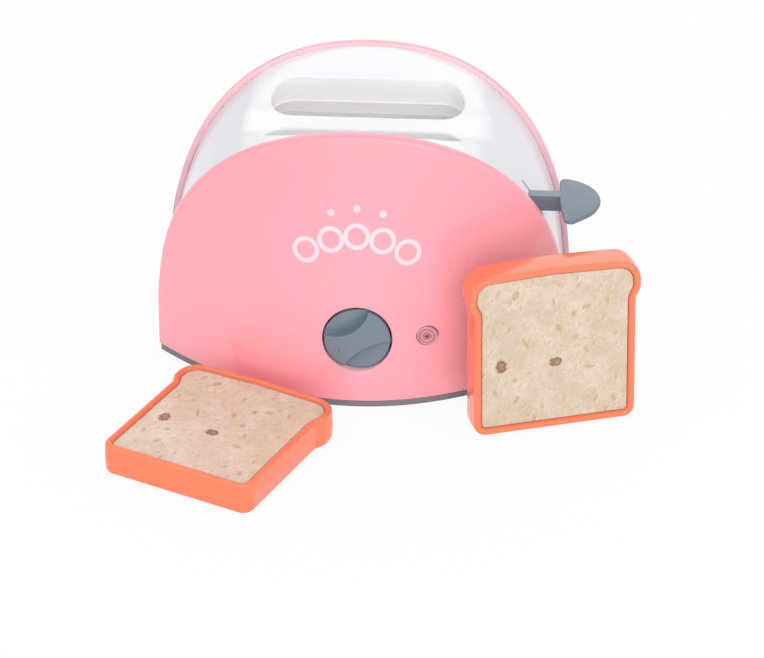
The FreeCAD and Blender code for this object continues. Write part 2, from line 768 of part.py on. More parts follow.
def make_lens():
    """Stepped lens: a low dome through the cover and a flange behind it."""
    seat = lamp_seat_y()
    front = -face_y(lamp_x, lamp_z) - lamp_proud
    body = rod(lamp_x, front, lamp_z, lamp_radius, seat - front + 2, BACK)
    body = body.makeChamfer(0.8, [e for e in body.Edges if e.BoundBox.YMax < front + 0.01])
    flange = rod(lamp_x, seat, lamp_z, lamp_flange_radius, 2, BACK)
    lens = body.fuse(flange)
    for radius in (0.36 * lamp_radius, 0.68 * lamp_radius):
        ring = rod(lamp_x, front - 1, lamp_z, radius + 0.35, 1.4, BACK)
        lens = lens.cut(ring.cut(rod(lamp_x, front - 1, lamp_z, radius - 0.35, 1.4, BACK)))
    well = rod(lamp_x, seat - 1, lamp_z, led_radius + 0.3, 10, BACK)
    return lens.cut(well).removeSplitter()


def make_led():
    y = lamp_seat_y() - 0.5
    body = rod(lamp_x, y + led_radius, lamp_z, led_radius, board_y() - y - led_radius, BACK)
    tip = Part.makeCone(led_radius / 2, led_radius, led_radius, V(lamp_x, y, lamp_z), BACK)
    return body.fuse(tip).removeSplitter()


def board_y():
    """Front of the lamp's circuit board: the end of the lamp socket."""
    return -face_y(lamp_x, lamp_z) + 1 + 8


def make_board():
    wide, thick, high = board_size
    y = board_y()
    return box(lamp_x - wide / 2, lamp_x + wide / 2, y, y + thick, lamp_z - high / 2, lamp_z + high / 2)


def make_switch():
    """Leaf switch on the base, under the lift's end plate: its leaf ends just below the lowered plate."""
    leaf_top = tray_z - tray_thickness - end_plate_drop - lever_travel - seat_gap
    near = end_plate_x - 1
    body = box(-near - 12, -near, 12, 18, base_height, leaf_top - 0.6)
    leaf = box(-near - 11, -near - 1, 13.5, 16.5, leaf_top - 0.6, leaf_top)
    return body.fuse(leaf).removeSplitter()


# ---------------------------------------------------------------- batteries

def cell_z():
    return door_bottom_z + door_thickness + 0.4 + cell_radius


def make_cells():
    cells = []
    for side in (-1, 1):
        y = battery_y + side * (cell_radius + cell_gap / 2)
        can = rod(-cell_length / 2, y, cell_z(), cell_radius, cell_length, RIGHT)
        tip = rod(side * cell_length / 2, y, cell_z(), 2.7, 1.2, V(side, 0, 0))
        cells.append(can.fuse(tip).removeSplitter())
    return cells


def make_battery_box():
    """Tray over the cells, open below, standing on the base plate."""
    x_half, y_half = door_half()
    top = cell_z() + cell_radius + 0.6
    outer = box(-x_half - box_wall, x_half + box_wall, battery_y - y_half - box_wall,
                battery_y + y_half + box_wall, base_height, top + box_wall)
    inner = box(-x_half, x_half, battery_y - y_half, battery_y + y_half, base_height - 1, top)
    boss_z = door_bottom_z + door_thickness + door_gap
    boss = rod(door_screw_x(), battery_y, boss_z, bay_boss_radius, top + box_wall / 2 - boss_z, UP)
    tray = outer.cut(inner).fuse(boss)
    return tray.cut(rod(door_screw_x(), battery_y, boss_z - 1, screw_radius + 0.05, 9, UP)).removeSplitter()


def make_contacts():
    """Sprung metal plates at both ends of the cells."""
    x_half, y_half = door_half()
    plates = []
    for side in (-1, 1):
        outer = side * x_half
        inner = side * (x_half - 0.5)
        low, high = min(outer, inner), max(outer, inner)
        plate = box(low, high, battery_y - y_half + 2, battery_y + y_half - 2, base_height, cell_z() + cell_radius)
        y = battery_y - side * (cell_radius + cell_gap / 2)
        length = x_half - 0.5 - cell_length / 2 - 0.2
        coil = Part.makeCone(4.2, 2.2, length, V(side * (x_half - 0.5), y, cell_z()), V(-side, 0, 0))
        plates.append(plate.fuse(coil))
        stub_y = battery_y + side * (cell_radius + cell_gap / 2)
        stub_length = length - 1.2
        stub = rod(side * (x_half - 0.5), stub_y, cell_z(), 2.0, stub_length, V(-side, 0, 0))
        plates[-1] = plates[-1].fuse(stub).removeSplitter()
    return plates


def make_battery_door():
    """Flat cover under the cells with a grip of four grooves."""
    x_half, y_half = door_half()
    z = door_bottom_z
    door = box(-x_half, x_half, battery_y - y_half, battery_y + y_half, z, z + door_thickness)
    for i in range(4):
        x = -7 + 4 * i
        door = door.cut(box(x, x + 2, battery_y - y_half + 4, battery_y - y_half + 12, 0, z + 0.7))
    door = door.cut(rod(door_screw_x(), battery_y, -1, screw_radius + screw_hole_gap, 10, UP))
    well = 1 + z + 0.1 + door_screw_head
    return door.cut(rod(door_screw_x(), battery_y, -1, screw_head_radius + 0.3, well, UP))


def make_door_screw():
    z = door_bottom_z + 0.1 + door_screw_head
    return screw(door_screw_x(), battery_y, z, 7.0, UP, True, door_screw_head)


def door_screw_x():
    x_half, y_half = door_half()
    return x_half - 4.4


# ---------------------------------------------------------------- fasteners

def screw(x, y, z, length, along, crossed, head=screw_head_height):
    """Pan-head screw: the head sits behind the given point and the shank runs along."""
    direction = V(along)
    shank = Part.makeCylinder(screw_radius, length, V(x, y, z), direction)
    start = V(x, y, z) - direction * head
    cap = Part.makeCylinder(screw_head_radius, head, start, direction)
    if not crossed:
        return cap.fuse(shank)
    cross = 0.35
    bar_a = Part.makeBox(2 * cross, 2 * cross, 3.4, V(-cross, -cross, -1.7))
    bar_b = Part.makeBox(3.4, 2 * cross, 2 * cross, V(-1.7, -cross, -cross))
    turn = FreeCAD.Rotation(BACK, direction)
    place = FreeCAD.Placement(start, turn)
    cut = [bar_a, bar_b]
    for bar in cut:
        bar.Placement = place
    return cap.fuse(shank).cut(cut)


def make_cover_screws(rear):
    screws = []
    for x, z in cover_screw_spots():
        for side in (-1, 1):
            tip = tab_front_y(x, z)
            if rear:
                made = screw(side * x, -(tip - cover_wall), z, cover_wall + 6.5, V(0, -1, 0), True)
            else:
                made = screw(side * x, tip + tab_thickness, z, tab_thickness + 5.5, V(0, -1, 0), False)
            screws.append(made)
    return screws


def make_timer_screws():
    y = timer_front_y() + 3.0
    return [screw(knob_x, y, z, 7.0, V(0, -1, 0), False) for z in timer_ear_z()]


def make_base_screws():
    z = screw_head_height + 0.3
    return [screw(side * base_screw_x(), 0, z, 6.0, UP, True) for side in (-1, 1)]


# ---------------------------------------------------------------- bread slices

def slice_outline(inset, y=0.0):
    """Bread slice seen from the front: straight foot, waist, two ears and a low crown."""
    half = slice_width / 2 - inset
    waist_z = slice_height - slice_ear_height
    ear = half + slice_ear_reach
    top = slice_height - inset
    right_points = [
        (half, inset, max(0.9, slice_corner_radius - 0.9 * inset)),
        (half - 0.3, waist_z, 2.5),
        (ear, waist_z + 5.5, 6.0 - 0.6 * inset),
        (ear - 0.3, top - slice_crown_rise, 11.0 - inset),
    ]
    left = [(-x, z, r) for x, z, r in reversed(right_points)]
    crown = [(0.0, top, slice_crown_radius)]
    return rounded(right_points + crown + left, lambda x, z: V(x, y, z))


def rounded(corners, place):
    """Closed outline through the corners, each rounded by its own radius."""
    count = len(corners)
    points = [place(u, v) for u, v, radius in corners]
    pieces = []
    ends = []
    for i in range(count):
        before, here, after = points[i - 1], points[i], points[(i + 1) % count]
        a = (before - here).normalize()
        b = (after - here).normalize()
        half_angle = math.acos(max(-1.0, min(1.0, a.dot(b)))) / 2
        radius = corners[i][2]
        trim = radius / math.tan(half_angle)
        start = here + a * trim
        stop = here + b * trim
        bisector = (a + b).normalize()
        middle = here + bisector * (radius / math.sin(half_angle) - radius)
        ends.append((start, stop))
        pieces.append(Part.Arc(start, middle, stop).toShape())
    for i in range(count):
        pieces.append(Part.makeLine(ends[i - 1][1], ends[i][0]))
    return Part.Wire(Part.__sortEdges__(pieces))


def slice_crust():
    """Crust ring with a drafted outside, pockets on both sides and a ledge for the faces."""
    middle = slice_thickness / 2
    front = slice_outline(0.0, 0.0)
    waist = slice_outline(-slice_draft, middle)
    back = slice_outline(0.0, slice_thickness)
    crust = Part.makeLoft([front, waist], True, True).fuse(Part.makeLoft([waist, back], True, True))
    pocket = slice_face_recess + slice_face_thickness
    opening = Part.Face(slice_outline(slice_rim, -1.0))
    ledge = Part.Face(slice_outline(slice_rim + slice_ledge, -1.0))
    crust = crust.cut(opening.extrude(V(0, 1 + pocket, 0)))
    rear_opening = opening.copy()
    rear_opening.translate(V(0, 1 + slice_thickness - pocket, 0))
    crust = crust.cut(rear_opening.extrude(V(0, pocket + 1, 0)))
    return crust.cut(ledge.extrude(V(0, slice_thickness + 2, 0))).removeSplitter()


def slice_faces():
    face = Part.Face(slice_outline(slice_rim + slice_face_gap, slice_face_recess))
    front = face.extrude(V(0, slice_face_thickness, 0))
    back = front.copy()
    back.translate(V(0, slice_thickness - 2 * slice_face_recess - slice_face_thickness, 0))
    return [front, back]


def stand_up(shape):
    """Stand the slice on the rear half of its drafted foot."""
    lean = math.degrees(math.atan2(slice_draft, slice_thickness / 2))
    placed = shape.copy()
    ridge = V(0, slice_thickness / 2, -slice_draft)
    placed.rotate(ridge, RIGHT, -lean)
    placed.translate(V(0, 0, slice_draft))
    placed.rotate(V(0, 0, 0), UP, standing_yaw)
    placed.translate(V(standing_at[0], standing_at[1], 0))
    return placed


def lay_down(shape):
    """Lay the slice on its back, its foot towards the viewer."""
    placed = shape.copy()
    placed.rotate(V(0, 0, 0), RIGHT, -90)
    placed.rotate(V(0, 0, 0), UP, lying_yaw)
    placed.translate(V(lying_at[0], lying_at[1], slice_thickness))
    return placed


def main():
    save("front_cover", make_front_cover())
    save("rear_cover", make_rear_cover())
    save("left_side_panel", side_panel(-1))
    save("right_side_panel", side_panel(1))
    save("top_panel", make_top_panel())
    save("front_bread_chute", chute(-slot_middle_y))
    save("rear_bread_chute", chute(slot_middle_y))
    save("base_plate", make_base_plate())
    save("bread_carriage", make_carriage())
    save("lever_arm", make_lever_arm())
    save("lever_paddle", make_paddle())
    rod_top = dish_z - 3.0 - 0.3
    rod_length = rod_top - 1.5
    rods = [rod(x, 0, 1.5, guide_rod_radius, rod_length, UP) for x in (-guide_x, guide_x)]
    save("guide_rods", *rods)
    save("lift_spring", make_lift_spring(guide_x))
    save("latch_hook", make_latch_hook())
    save("latch_pin", make_latch_pin())
    save("timer_knob", make_knob())
    save("timer_shaft", make_shaft())
    save("timer_housing", make_timer_housing())
    save("lamp_lens", make_lens())
    save("led_lamp", make_led())
    save("circuit_board", make_board())
    save("lamp_switch", make_switch())
    save("battery_box", make_battery_box())
    save("battery_contacts", *make_contacts())
    save("batteries", *make_cells())
    save("battery_door", make_battery_door())
    save("battery_door_screw", make_door_screw())
    save("timer_screws", *make_timer_screws())
    save("front_cover_screws", *make_cover_screws(False))
    save("rear_cover_screws", *make_cover_screws(True))
    save("base_screws", *make_base_screws())
    save("standing_slice_crust", stand_up(slice_crust()))
    save("standing_slice_faces", *[stand_up(s) for s in slice_faces()])
    save("lying_slice_crust", lay_down(slice_crust()))
    save("lying_slice_faces", *[lay_down(s) for s in slice_faces()])


main()
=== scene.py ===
import math

import bmesh
import bpy
import numpy as np
from mathutils import Matrix, Vector


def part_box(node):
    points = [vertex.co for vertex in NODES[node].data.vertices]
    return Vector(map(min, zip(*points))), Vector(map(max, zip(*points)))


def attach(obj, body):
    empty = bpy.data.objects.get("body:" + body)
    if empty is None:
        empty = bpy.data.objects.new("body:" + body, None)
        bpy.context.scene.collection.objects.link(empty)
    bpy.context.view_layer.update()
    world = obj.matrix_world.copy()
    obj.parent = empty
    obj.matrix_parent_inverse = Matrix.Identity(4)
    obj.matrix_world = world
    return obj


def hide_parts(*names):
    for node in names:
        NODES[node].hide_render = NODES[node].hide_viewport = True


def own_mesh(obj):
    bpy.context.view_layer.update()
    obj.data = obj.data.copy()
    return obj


bl_info = {
    "name": "Toy toaster",
    "version": (1, 0, 0),
    "blender": (4, 5, 0),
    "location": "3D View > Sidebar > Toaster",
    "description": "Dresses a toy pop-up toaster and its two bread slices",
    "category": "Add Mesh",
}

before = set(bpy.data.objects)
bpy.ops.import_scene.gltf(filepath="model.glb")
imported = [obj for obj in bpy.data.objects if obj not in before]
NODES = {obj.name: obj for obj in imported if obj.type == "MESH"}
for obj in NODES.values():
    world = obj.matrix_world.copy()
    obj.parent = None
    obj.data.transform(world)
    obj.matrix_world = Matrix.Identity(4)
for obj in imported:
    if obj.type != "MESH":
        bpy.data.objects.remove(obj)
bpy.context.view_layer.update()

# Outlines and sections below are in millimetres; finishes and the stage are in metres.
MM = 0.001

SMOOTH_ANGLE = math.radians(34)
LOOP_POINTS = 420
HALF_WIDTH = (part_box("rear_cover")[1].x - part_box("rear_cover")[0].x) / 2 / MM
ARCH_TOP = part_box("rear_cover")[1].z / MM


# ---- settings

def length_setting(name, about, length):
    return bpy.props.FloatProperty(name=name, description=about, default=length, unit="LENGTH")


def colour_setting(name, about, colour):
    return bpy.props.FloatVectorProperty(
        name=name, description=about, default=colour, subtype="COLOR", size=3)


class ToasterSizes(bpy.types.PropertyGroup):
    """Sizes of the dressed pieces, in metres."""

    edge_radius: length_setting("Cover edge", "Radius of the covers' rounded front edge", 0.0026)
    knob_edge: length_setting("Knob edge", "Rounding of the knob's edges", 0.0007)


class ToasterColours(bpy.types.PropertyGroup):
    """Colours of the mouldings, linear."""

    cover: colour_setting("Covers", "Pink of the front and rear covers", (0.96, 0.372, 0.434))
    body: colour_setting("Body", "White of the top and sides", (0.84, 0.83, 0.86))
    controls: colour_setting("Controls", "Blue grey of the knob and lever", (0.160, 0.210, 0.262))
    crust: colour_setting("Crust", "Orange of the bread crusts", (0.93, 0.196, 0.090))
    crumb: colour_setting("Crumb", "Beige of the bread faces", (0.685, 0.572, 0.458))


# ---- shader maths

class Value:
    """A number in a shader tree; arithmetic on it adds Math nodes."""

    def __init__(self, tree, socket):
        self.tree = tree
        self.socket = socket

    def math(self, operation, *others):
        """A Math node on this number and then the others."""
        sources = dict(enumerate([self, *others]))
        node = self.tree.add("ShaderNodeMath", {"operation": operation}, sources)
        return Value(self.tree, node.outputs[0])

    def flipped(self, operation, other):
        """A Math node on the other number and then this one."""
        node = self.tree.add("ShaderNodeMath", {"operation": operation}, {0: other, 1: self})
        return Value(self.tree, node.outputs[0])

    def __add__(self, other):
        return self.math("ADD", other)

    def __sub__(self, other):
        return self.math("SUBTRACT", other)

    def __mul__(self, other):
        return self.math("MULTIPLY", other)

    def __truediv__(self, other):
        return self.math("DIVIDE", other)

    def __pow__(self, other):
        return self.math("POWER", other)

    def __radd__(self, other):
        return self.flipped("ADD", other)

    def __rsub__(self, other):
        return self.flipped("SUBTRACT", other)

    def __rmul__(self, other):
        return self.flipped("MULTIPLY", other)

    def __rtruediv__(self, other):
        return self.flipped("DIVIDE", other)

    def step(self, low, high):
        """Smooth step from 0 at low to 1 at high."""
        node = self.tree.add("ShaderNodeMapRange", {"interpolation_type": "SMOOTHSTEP"},
                             {"Value": self, "From Min": low, "From Max": high})
        return Value(self.tree, node.outputs["Result"])


class Tree:
    """A node tree: add() makes any node, put() sets or links one socket."""

    def __init__(self, tree):
        self.nodes = tree.nodes
        self.links = tree.links

    def put(self, socket, value):
        """Links a value or socket, or sets a constant, with ones for what a colour leaves out."""
        if isinstance(value, Value):
            value = value.socket
        if isinstance(value, bpy.types.NodeSocket):
            self.links.new(value, socket)
        elif hasattr(socket.default_value, "__len__"):
            missing = len(socket.default_value) - len(value)
            socket.default_value = list(value) + [1.0] * missing
        else:
            socket.default_value = value

    def add(self, kind, settings=None, inputs=None):
        """A node of that kind, with its settings set first and then its sockets."""
        node = self.nodes.new(kind)
        for key, value in (settings or {}).items():
            setattr(node, key, value)
        for key, value in (inputs or {}).items():
            self.put(node.inputs[key], value)
        return node

    def seen(self):
        """1 where the camera, a reflection or a clear piece looks at the surface, else 0."""
        path = self.add("ShaderNodeLightPath").outputs
        camera, glossy, clear = (Value(self, path[f"Is {kind} Ray"])
                                 for kind in ("Camera", "Glossy", "Transmission"))
        return (camera + glossy + clear).math("MINIMUM", 1.0)


class Finish(Tree):
    """One material: feed() sets its surface's sockets."""

    def __init__(self, name, **surface):
        self.material = bpy.data.materials.new(name)
        self.material.use_nodes = True
        super().__init__(self.material.node_tree)
        self.surface = self.nodes["Principled BSDF"]
        self.feed({key.replace("_", " ").title(): value for key, value in surface.items()})

    def feed(self, sockets):
        """Puts a value on each named socket of the surface."""
        for key, value in sockets.items():
            self.put(self.surface.inputs[key], value)
        return self

    def place(self):
        """The object's own coordinates, in metres."""
        return self.add("ShaderNodeTexCoord").outputs["Object"]

    def axes(self, where=None):
        """The three coordinates of the place or of another vector."""
        split = self.add("ShaderNodeSeparateXYZ", None, {0: where or self.place()})
        return [Value(self, socket) for socket in split.outputs]

    def base(self):
        """What feeds the base colour now."""
        return self.surface.inputs["Base Color"].links[0].from_socket

    def noise(self, scale, detail=3.0, where=None, roughness=0.5, distortion=0.0):
        """Perlin noise about 0.5, on the place or another vector."""
        node = self.add("ShaderNodeTexNoise", None, {
            "Vector": where or self.place(), "Scale": scale, "Detail": detail,
            "Roughness": roughness, "Distortion": distortion})
        return Value(self, node.outputs["Fac"])

    def cells(self, scale, where):
        """Distance to the nearest of scattered points."""
        node = self.add("ShaderNodeTexVoronoi", None, {"Vector": where, "Scale": scale})
        return Value(self, node.outputs["Distance"])

    def mix(self, amount, one, two, blend="MIX"):
        """Colour one where amount is 0, colour two, or one blended with it, where it is 1."""
        node = self.add("ShaderNodeMix", {"data_type": "RGBA", "blend_type": blend},
                        {0: amount, 6: one, 7: two})
        return node.outputs[2]

    def bump(self, height, strength, distance):
        """A normal bent by a height."""
        return self.add("ShaderNodeBump", None, {
            "Height": height, "Strength": strength, "Distance": distance}).outputs["Normal"]


def shade(colour, factor):
    """The colour times one factor or three, at most 1."""
    factors = factor if isinstance(factor, tuple) else (factor,) * 3
    return tuple(min(1.0, c * k) for c, k in zip(colour, factors))


def distance(across, up):
    """Root of the sum of squares."""
    return (across * across + up * up) ** 0.5


def moulded(name, colour, roughness, coat=0.0, grain=0.10, tone=0.03, wear=0.35):
    """Injection-moulded plastic: faint drift of tone, fine skin, slight wear in the gloss."""
    finish = Finish(name, base_color=colour, roughness=roughness)
    drift = finish.noise(14.0, 2.0).step(0.3, 0.7)
    finish.feed({
        "Base Color": finish.mix(drift, shade(colour, 1 - tone), shade(colour, 1 + tone)),
        "Roughness": roughness + (finish.noise(60.0, 4.0) - 0.5) * (roughness * wear),
        "Normal": finish.bump(finish.noise(650.0, 1.0), grain, 0.00002),
        "Coat Weight": coat,
        "Coat Roughness": 0.08,
        "IOR": 1.48,
    })
    return finish


def metal(name, colour, roughness):
    """Drawn metal: fine streaks in roughness and a faint change of tone."""
    finish = Finish(name, metallic=1.0)
    streaks = finish.noise(900.0, 4.0, distortion=1.5)
    finish.feed({
        "Base Color": finish.mix(finish.noise(80.0, 3.0), shade(colour, 0.88), colour),
        "Roughness": roughness * 0.7 + streaks * (roughness * 0.6),
        "Normal": finish.bump(streaks, 0.15, 0.00003),
    })
    return finish


# Tan spots as (across, up, half width, half height, lean) and dark holes without the lean, in mm.
BREAD_SPOTS = (
    (15.5, 62.9, 2.1, 1.6, 0.0), (1.8, 53.2, 1.6, 2.2, 0.3), (-14.8, 47.0, 1.1, 2.9, 0.5),
    (-19.8, 73.3, 2.0, 2.6, -0.3), (-20.0, 27.5, 1.5, 1.2, 0.0), (17.5, 30.0, 2.4, 1.1, 0.4),
    (9.0, 60.0, 1.3, 1.7, 0.2))
BREAD_HOLES = ((-26.8, 36.0, 2.5, 3.4), (0.2, 35.0, 3.1, 2.2))
PORE_SHAPE = {"Scale": (1.0, 0.62, 1.0), "Rotation": (0.0, 0.0, 0.45)}
PORE_EDGE = (-0.45, 0.55, 0.0)


def bread_face(name, colour):
    """Printed bread crumb on the slice's own flat coordinates in millimetres.

    Pores are the near zones of stretched cells, kept where a broad noise is high; each has a pale
    edge on its lower right, which is the same pore moved there less the pore itself. Flecks are the
    high parts of finer noises; the tan spots and the two dark holes are ellipses with a noisy edge.
    """
    finish = Finish(name, roughness=0.42)
    uv = finish.add("ShaderNodeUVMap", {"uv_map": "slice_mm"}).outputs[0]
    drift = finish.add("ShaderNodeTexNoise", None, {"Vector": uv, "Scale": 0.3, "Detail": 4.0})
    bent = finish.add("ShaderNodeVectorMath", {"operation": "MULTIPLY_ADD"}, {
        0: drift.outputs["Color"], 1: (3.6, 3.6, 0.0), 2: uv}).outputs[0]
    pushed = finish.add("ShaderNodeVectorMath", {"operation": "ADD"}, {
        0: bent, 1: PORE_EDGE}).outputs[0]
    leaning, shifted = (
        finish.add("ShaderNodeMapping", None, {"Vector": where, **PORE_SHAPE}).outputs[0]
        for where in (bent, pushed))
    keep = finish.noise(0.11, 3.0, uv).step(0.36, 0.54)
    dense = finish.noise(0.2, 3.0, uv).step(0.40, 0.56)
    large, large_edge = (finish.cells(0.19, where).step(0.30, 0.12) * keep
                         for where in (leaning, shifted))
    small, small_edge = (finish.cells(0.46, where).step(0.32, 0.12) * dense
                         for where in (leaning, shifted))
    light = large_edge - large + (small_edge - small) * 0.8
    light = light.math("MAXIMUM", 0.0).math("MINIMUM", 1.0)
    flecks = finish.noise(1.3, 4.0, bent, 0.72).step(0.58, 0.72)
    dots = finish.noise(1.9, 1.0, bent).step(0.66, 0.73)
    clouds = finish.noise(0.06, 4.0, uv, 0.68).step(0.36, 0.62)
    streaks = finish.noise(0.5, 5.0, leaning, 0.7).step(0.42, 0.66)
    toned = finish.mix(clouds, shade(colour, 1.08), shade(colour, (0.97, 0.91, 0.86)))
    for mark, strength, tint in (
            (streaks, 0.36, shade(colour, (0.80, 0.70, 0.58))), (flecks, 0.30, (0.46, 0.30, 0.17)),
            (light, 0.45, (0.90, 0.80, 0.68)), (large, 0.52, (0.44, 0.29, 0.17)),
            (small, 0.42, (0.45, 0.30, 0.18)), (dots, 0.45, (0.30, 0.15, 0.07))):
        toned = finish.mix(mark * strength, toned, tint)
    across, up, _ = finish.axes(uv)
    wobble = (finish.noise(0.55, 3.0, uv) - 0.5) * 1.1
    spots = holes = 0.0
    for x, y, wide, high, lean in BREAD_SPOTS:
        side, rise = (across - x + (up - y) * lean) / wide, (up - y) / high
        spots = (side * side + rise * rise + wobble).step(1.2, 0.5) + spots
    toned = finish.mix(spots * 0.62, toned, (0.50, 0.30, 0.14))
    ragged = (finish.noise(0.42, 4.0, bent, 0.6) - 0.5) * 2.6
    for x, y, wide, high in BREAD_HOLES:
        side, rise = (across - x) / wide, (up - y) / high
        far = side * side + rise * rise + ragged
        for outer, inner, strength, tint in (
                (1.7, 1.2, 0.5, (0.46, 0.29, 0.17)), (1.25, 0.7, 1.0, (0.27, 0.14, 0.085)),
                (0.45, 0.0, 0.75, (0.42, 0.28, 0.22))):
            toned = finish.mix(far.step(outer, inner) * strength, toned, tint)
        holes = far.step(1.2, 0.6) + holes
    height = (finish.noise(0.9, 4.0, bent) * 0.35 + light * 0.15 - large * 0.5 - small * 0.3
              - spots * 0.4 - holes * 0.8)
    finish.feed({
        "Base Color": toned,
        "Roughness": 0.38 + large * 0.2,
        "Normal": finish.bump(height, 0.5, 0.0005),
    })
    return finish


# ---- mesh helpers

SAME_CORNER = 2e-3
SAME_POINT = 2e-6
NO_LENGTH = 1e-7


def weld(points, triangles):
    """Merges corners that lie within a grid step of each other and drops collapsed triangles."""
    keys = np.round(points / SAME_CORNER).astype(np.int64)
    _, first, back = np.unique(keys, axis=0, return_index=True, return_inverse=True)
    triangles = back.reshape(-1)[triangles]
    a, b, c = triangles.T
    return points[first], triangles[(a != b) & (b != c) & (c != a)]


def cad_arrays(node):
    """Points (mm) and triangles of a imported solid, its loose corners merged."""
    mesh = NODES[node].data
    points = np.empty(len(mesh.vertices) * 3, np.float32)
    mesh.vertices.foreach_get("co", points)
    mesh.calc_loop_triangles()
    triangles = np.empty(len(mesh.loop_triangles) * 3, np.int32)
    mesh.loop_triangles.foreach_get("vertices", triangles)
    return weld(points.reshape(-1, 3).astype(float) / MM, triangles.reshape(-1, 3))


def sheet(grid, loop_rows=False, loop_columns=True):
    """A (rows, columns, 3) grid as points and the quads between neighbours, looped or open."""
    index = np.arange(grid.shape[0] * grid.shape[1]).reshape(grid.shape[:2])
    if loop_rows:
        index = np.vstack([index, index[:1]])
    if loop_columns:
        index = np.hstack([index, index[:, :1]])
    quads = [index[:-1, :-1], index[:-1, 1:], index[1:, 1:], index[1:, :-1]]
    return grid.reshape(-1, 3), np.stack(quads, -1).reshape(-1, 4)


def build(name, parts, finish, body, replaces=(), uv=None, mend=False):
    """One smooth object from (points in mm, faces) parts, riding on a body.

    A list of finishes gives one to each part; uv is a layer's name and its value at each point.
    mend merges doubles and turns the faces outwards, for closed surfaces made here.
    """
    finishes = finish if isinstance(finish, list) else [finish] * len(parts)
    used = list(dict.fromkeys(finishes))
    index = np.concatenate([np.full(len(f), used.index(own))
                            for (_, f), own in zip(parts, finishes)])
    points, faces, start = [], [], 0
    for p, f in parts:
        points.append(p)
        faces += (f + start).tolist()
        start += len(p)
    points = np.concatenate(points)
    mesh = bpy.data.meshes.new(name)
    mesh.from_pydata((points * MM).tolist(), [], faces)
    for own in used:
        mesh.materials.append(own.material)
    mesh.polygons.foreach_set("material_index", index.astype(np.int32))
    if uv:
        layer = mesh.uv_layers.new(name=uv[0])
        corners = np.empty(len(mesh.loops), np.int32)
        mesh.loops.foreach_get("vertex_index", corners)
        layer.data.foreach_set("uv", uv[1][corners].astype(np.float32).ravel())
    if mend:
        work = bmesh.new()
        work.from_mesh(mesh)
        bmesh.ops.remove_doubles(work, verts=work.verts, dist=SAME_POINT)
        bmesh.ops.dissolve_degenerate(work, edges=work.edges, dist=NO_LENGTH)
        bmesh.ops.recalc_face_normals(work, faces=work.faces)
        work.to_mesh(mesh)
        work.free()
    mesh.shade_smooth()
    mesh.set_sharp_from_angle(angle=SMOOTH_ANGLE)
    made = bpy.data.objects.new(name, mesh)
    bpy.context.scene.collection.objects.link(made)
    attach(made, body)
    if replaces:
        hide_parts(*replaces)
    return made


def dress(node, finish, body, bevel=0.0):
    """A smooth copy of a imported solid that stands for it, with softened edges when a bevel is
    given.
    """
    made = build(node + "_skin", [cad_arrays(node)], finish, body, (node,))
    if bevel:
        soften = made.modifiers.new("edges", "BEVEL")
        soften.width = bevel * MM
        soften.segments = 2
        soften.limit_method = "ANGLE"
        soften.angle_limit = math.radians(40)
        soften.harden_normals = True
        soften.use_clamp_overlap = True
    return made


def paint(node, finish):
    """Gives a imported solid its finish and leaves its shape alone."""
    mesh = NODES[node].data
    mesh.materials.clear()
    mesh.materials.append(finish.material)


# ---- outlines and bodies

def smooth(share):
    """3 s^2 - 2 s^3 of the share held between 0 and 1."""
    share = np.clip(share, 0, 1)
    return share * share * (3 - 2 * share)


def unit(vectors):
    """The vectors at length 1."""
    return vectors / np.sqrt((vectors ** 2).sum(-1, keepdims=True))


def spaced(path, count, closed):
    """Evenly spaced points along a path; a closed one's last point is left out."""
    run = np.append(0, np.cumsum(np.hypot(*np.diff(path, axis=0).T)))
    at = np.linspace(0, run[-1], count, endpoint=not closed)
    return np.stack([np.interp(at, run, path[:, k]) for k in (0, 1)], 1)


def rounded_loop(corners, count=LOOP_POINTS):
    """Evenly spaced points and outward normals of a closed outline, anticlockwise.

    Every corner (u, v, radius) gives way to the arc that touches both of its sides.
    """
    corners = np.array(corners, float)
    here, radius = corners[:, :2], corners[:, 2]
    a = unit(np.roll(here, 1, 0) - here)
    b = unit(np.roll(here, -1, 0) - here)
    half = np.arccos(np.clip((a * b).sum(1), -1, 1)) / 2
    centre = here + unit(a + b) * (radius / np.sin(half))[:, None]
    trim = (radius / np.tan(half))[:, None]
    start, stop = here + a * trim - centre, here + b * trim - centre
    first = np.arctan2(start[:, 1], start[:, 0])
    sweep = (np.arctan2(stop[:, 1], stop[:, 0]) - first + math.pi) % (2 * math.pi) - math.pi
    turn = first[:, None] + sweep[:, None] * np.linspace(0, 1, 25)
    arcs = centre[:, None] + radius[:, None, None] * np.stack([np.cos(turn), np.sin(turn)], -1)
    points = spaced(np.vstack([arcs.reshape(-1, 2), arcs[0, :1]]), count, True)
    along = unit(np.roll(points, -1, 0) - np.roll(points, 1, 0))
    return points, np.stack([along[:, 1], -along[:, 0]], 1)


def quarter(centre_in, centre_deep, wide, deep, count=7):
    """A quarter ellipse of a section: (inset, depth) = centre - (wide cos t, deep sin t)."""
    turn = np.linspace(0, math.pi / 2, count)
    return [(centre_in - wide * math.cos(t), centre_deep - deep * math.sin(t)) for t in turn]


def band(loop, normal, section, closed):
    """The section's points (inset, depth) carried round the loop, as a (count, rings, 3) grid."""
    section = np.array(section, float)
    ring = loop[:, None] - section[None, :, :1] * normal[:, None]
    deep = np.broadcast_to(section[None, :, 1], ring.shape[:2])
    return sheet(np.stack([ring[..., 0], deep, ring[..., 1]], -1), True, closed)


def lid(ring, depth, rings=20):
    """Closes a ring (count, 2): shrinking copies of it at one depth, or at one depth for each."""
    middle = ring.mean(0)
    flat = middle + (ring - middle) * np.linspace(0, 1, rings)[:, None, None]
    deep = np.broadcast_to(np.reshape(depth, (-1, 1)), flat.shape[:2])
    return sheet(np.stack([flat[..., 0], deep, flat[..., 1]], -1))


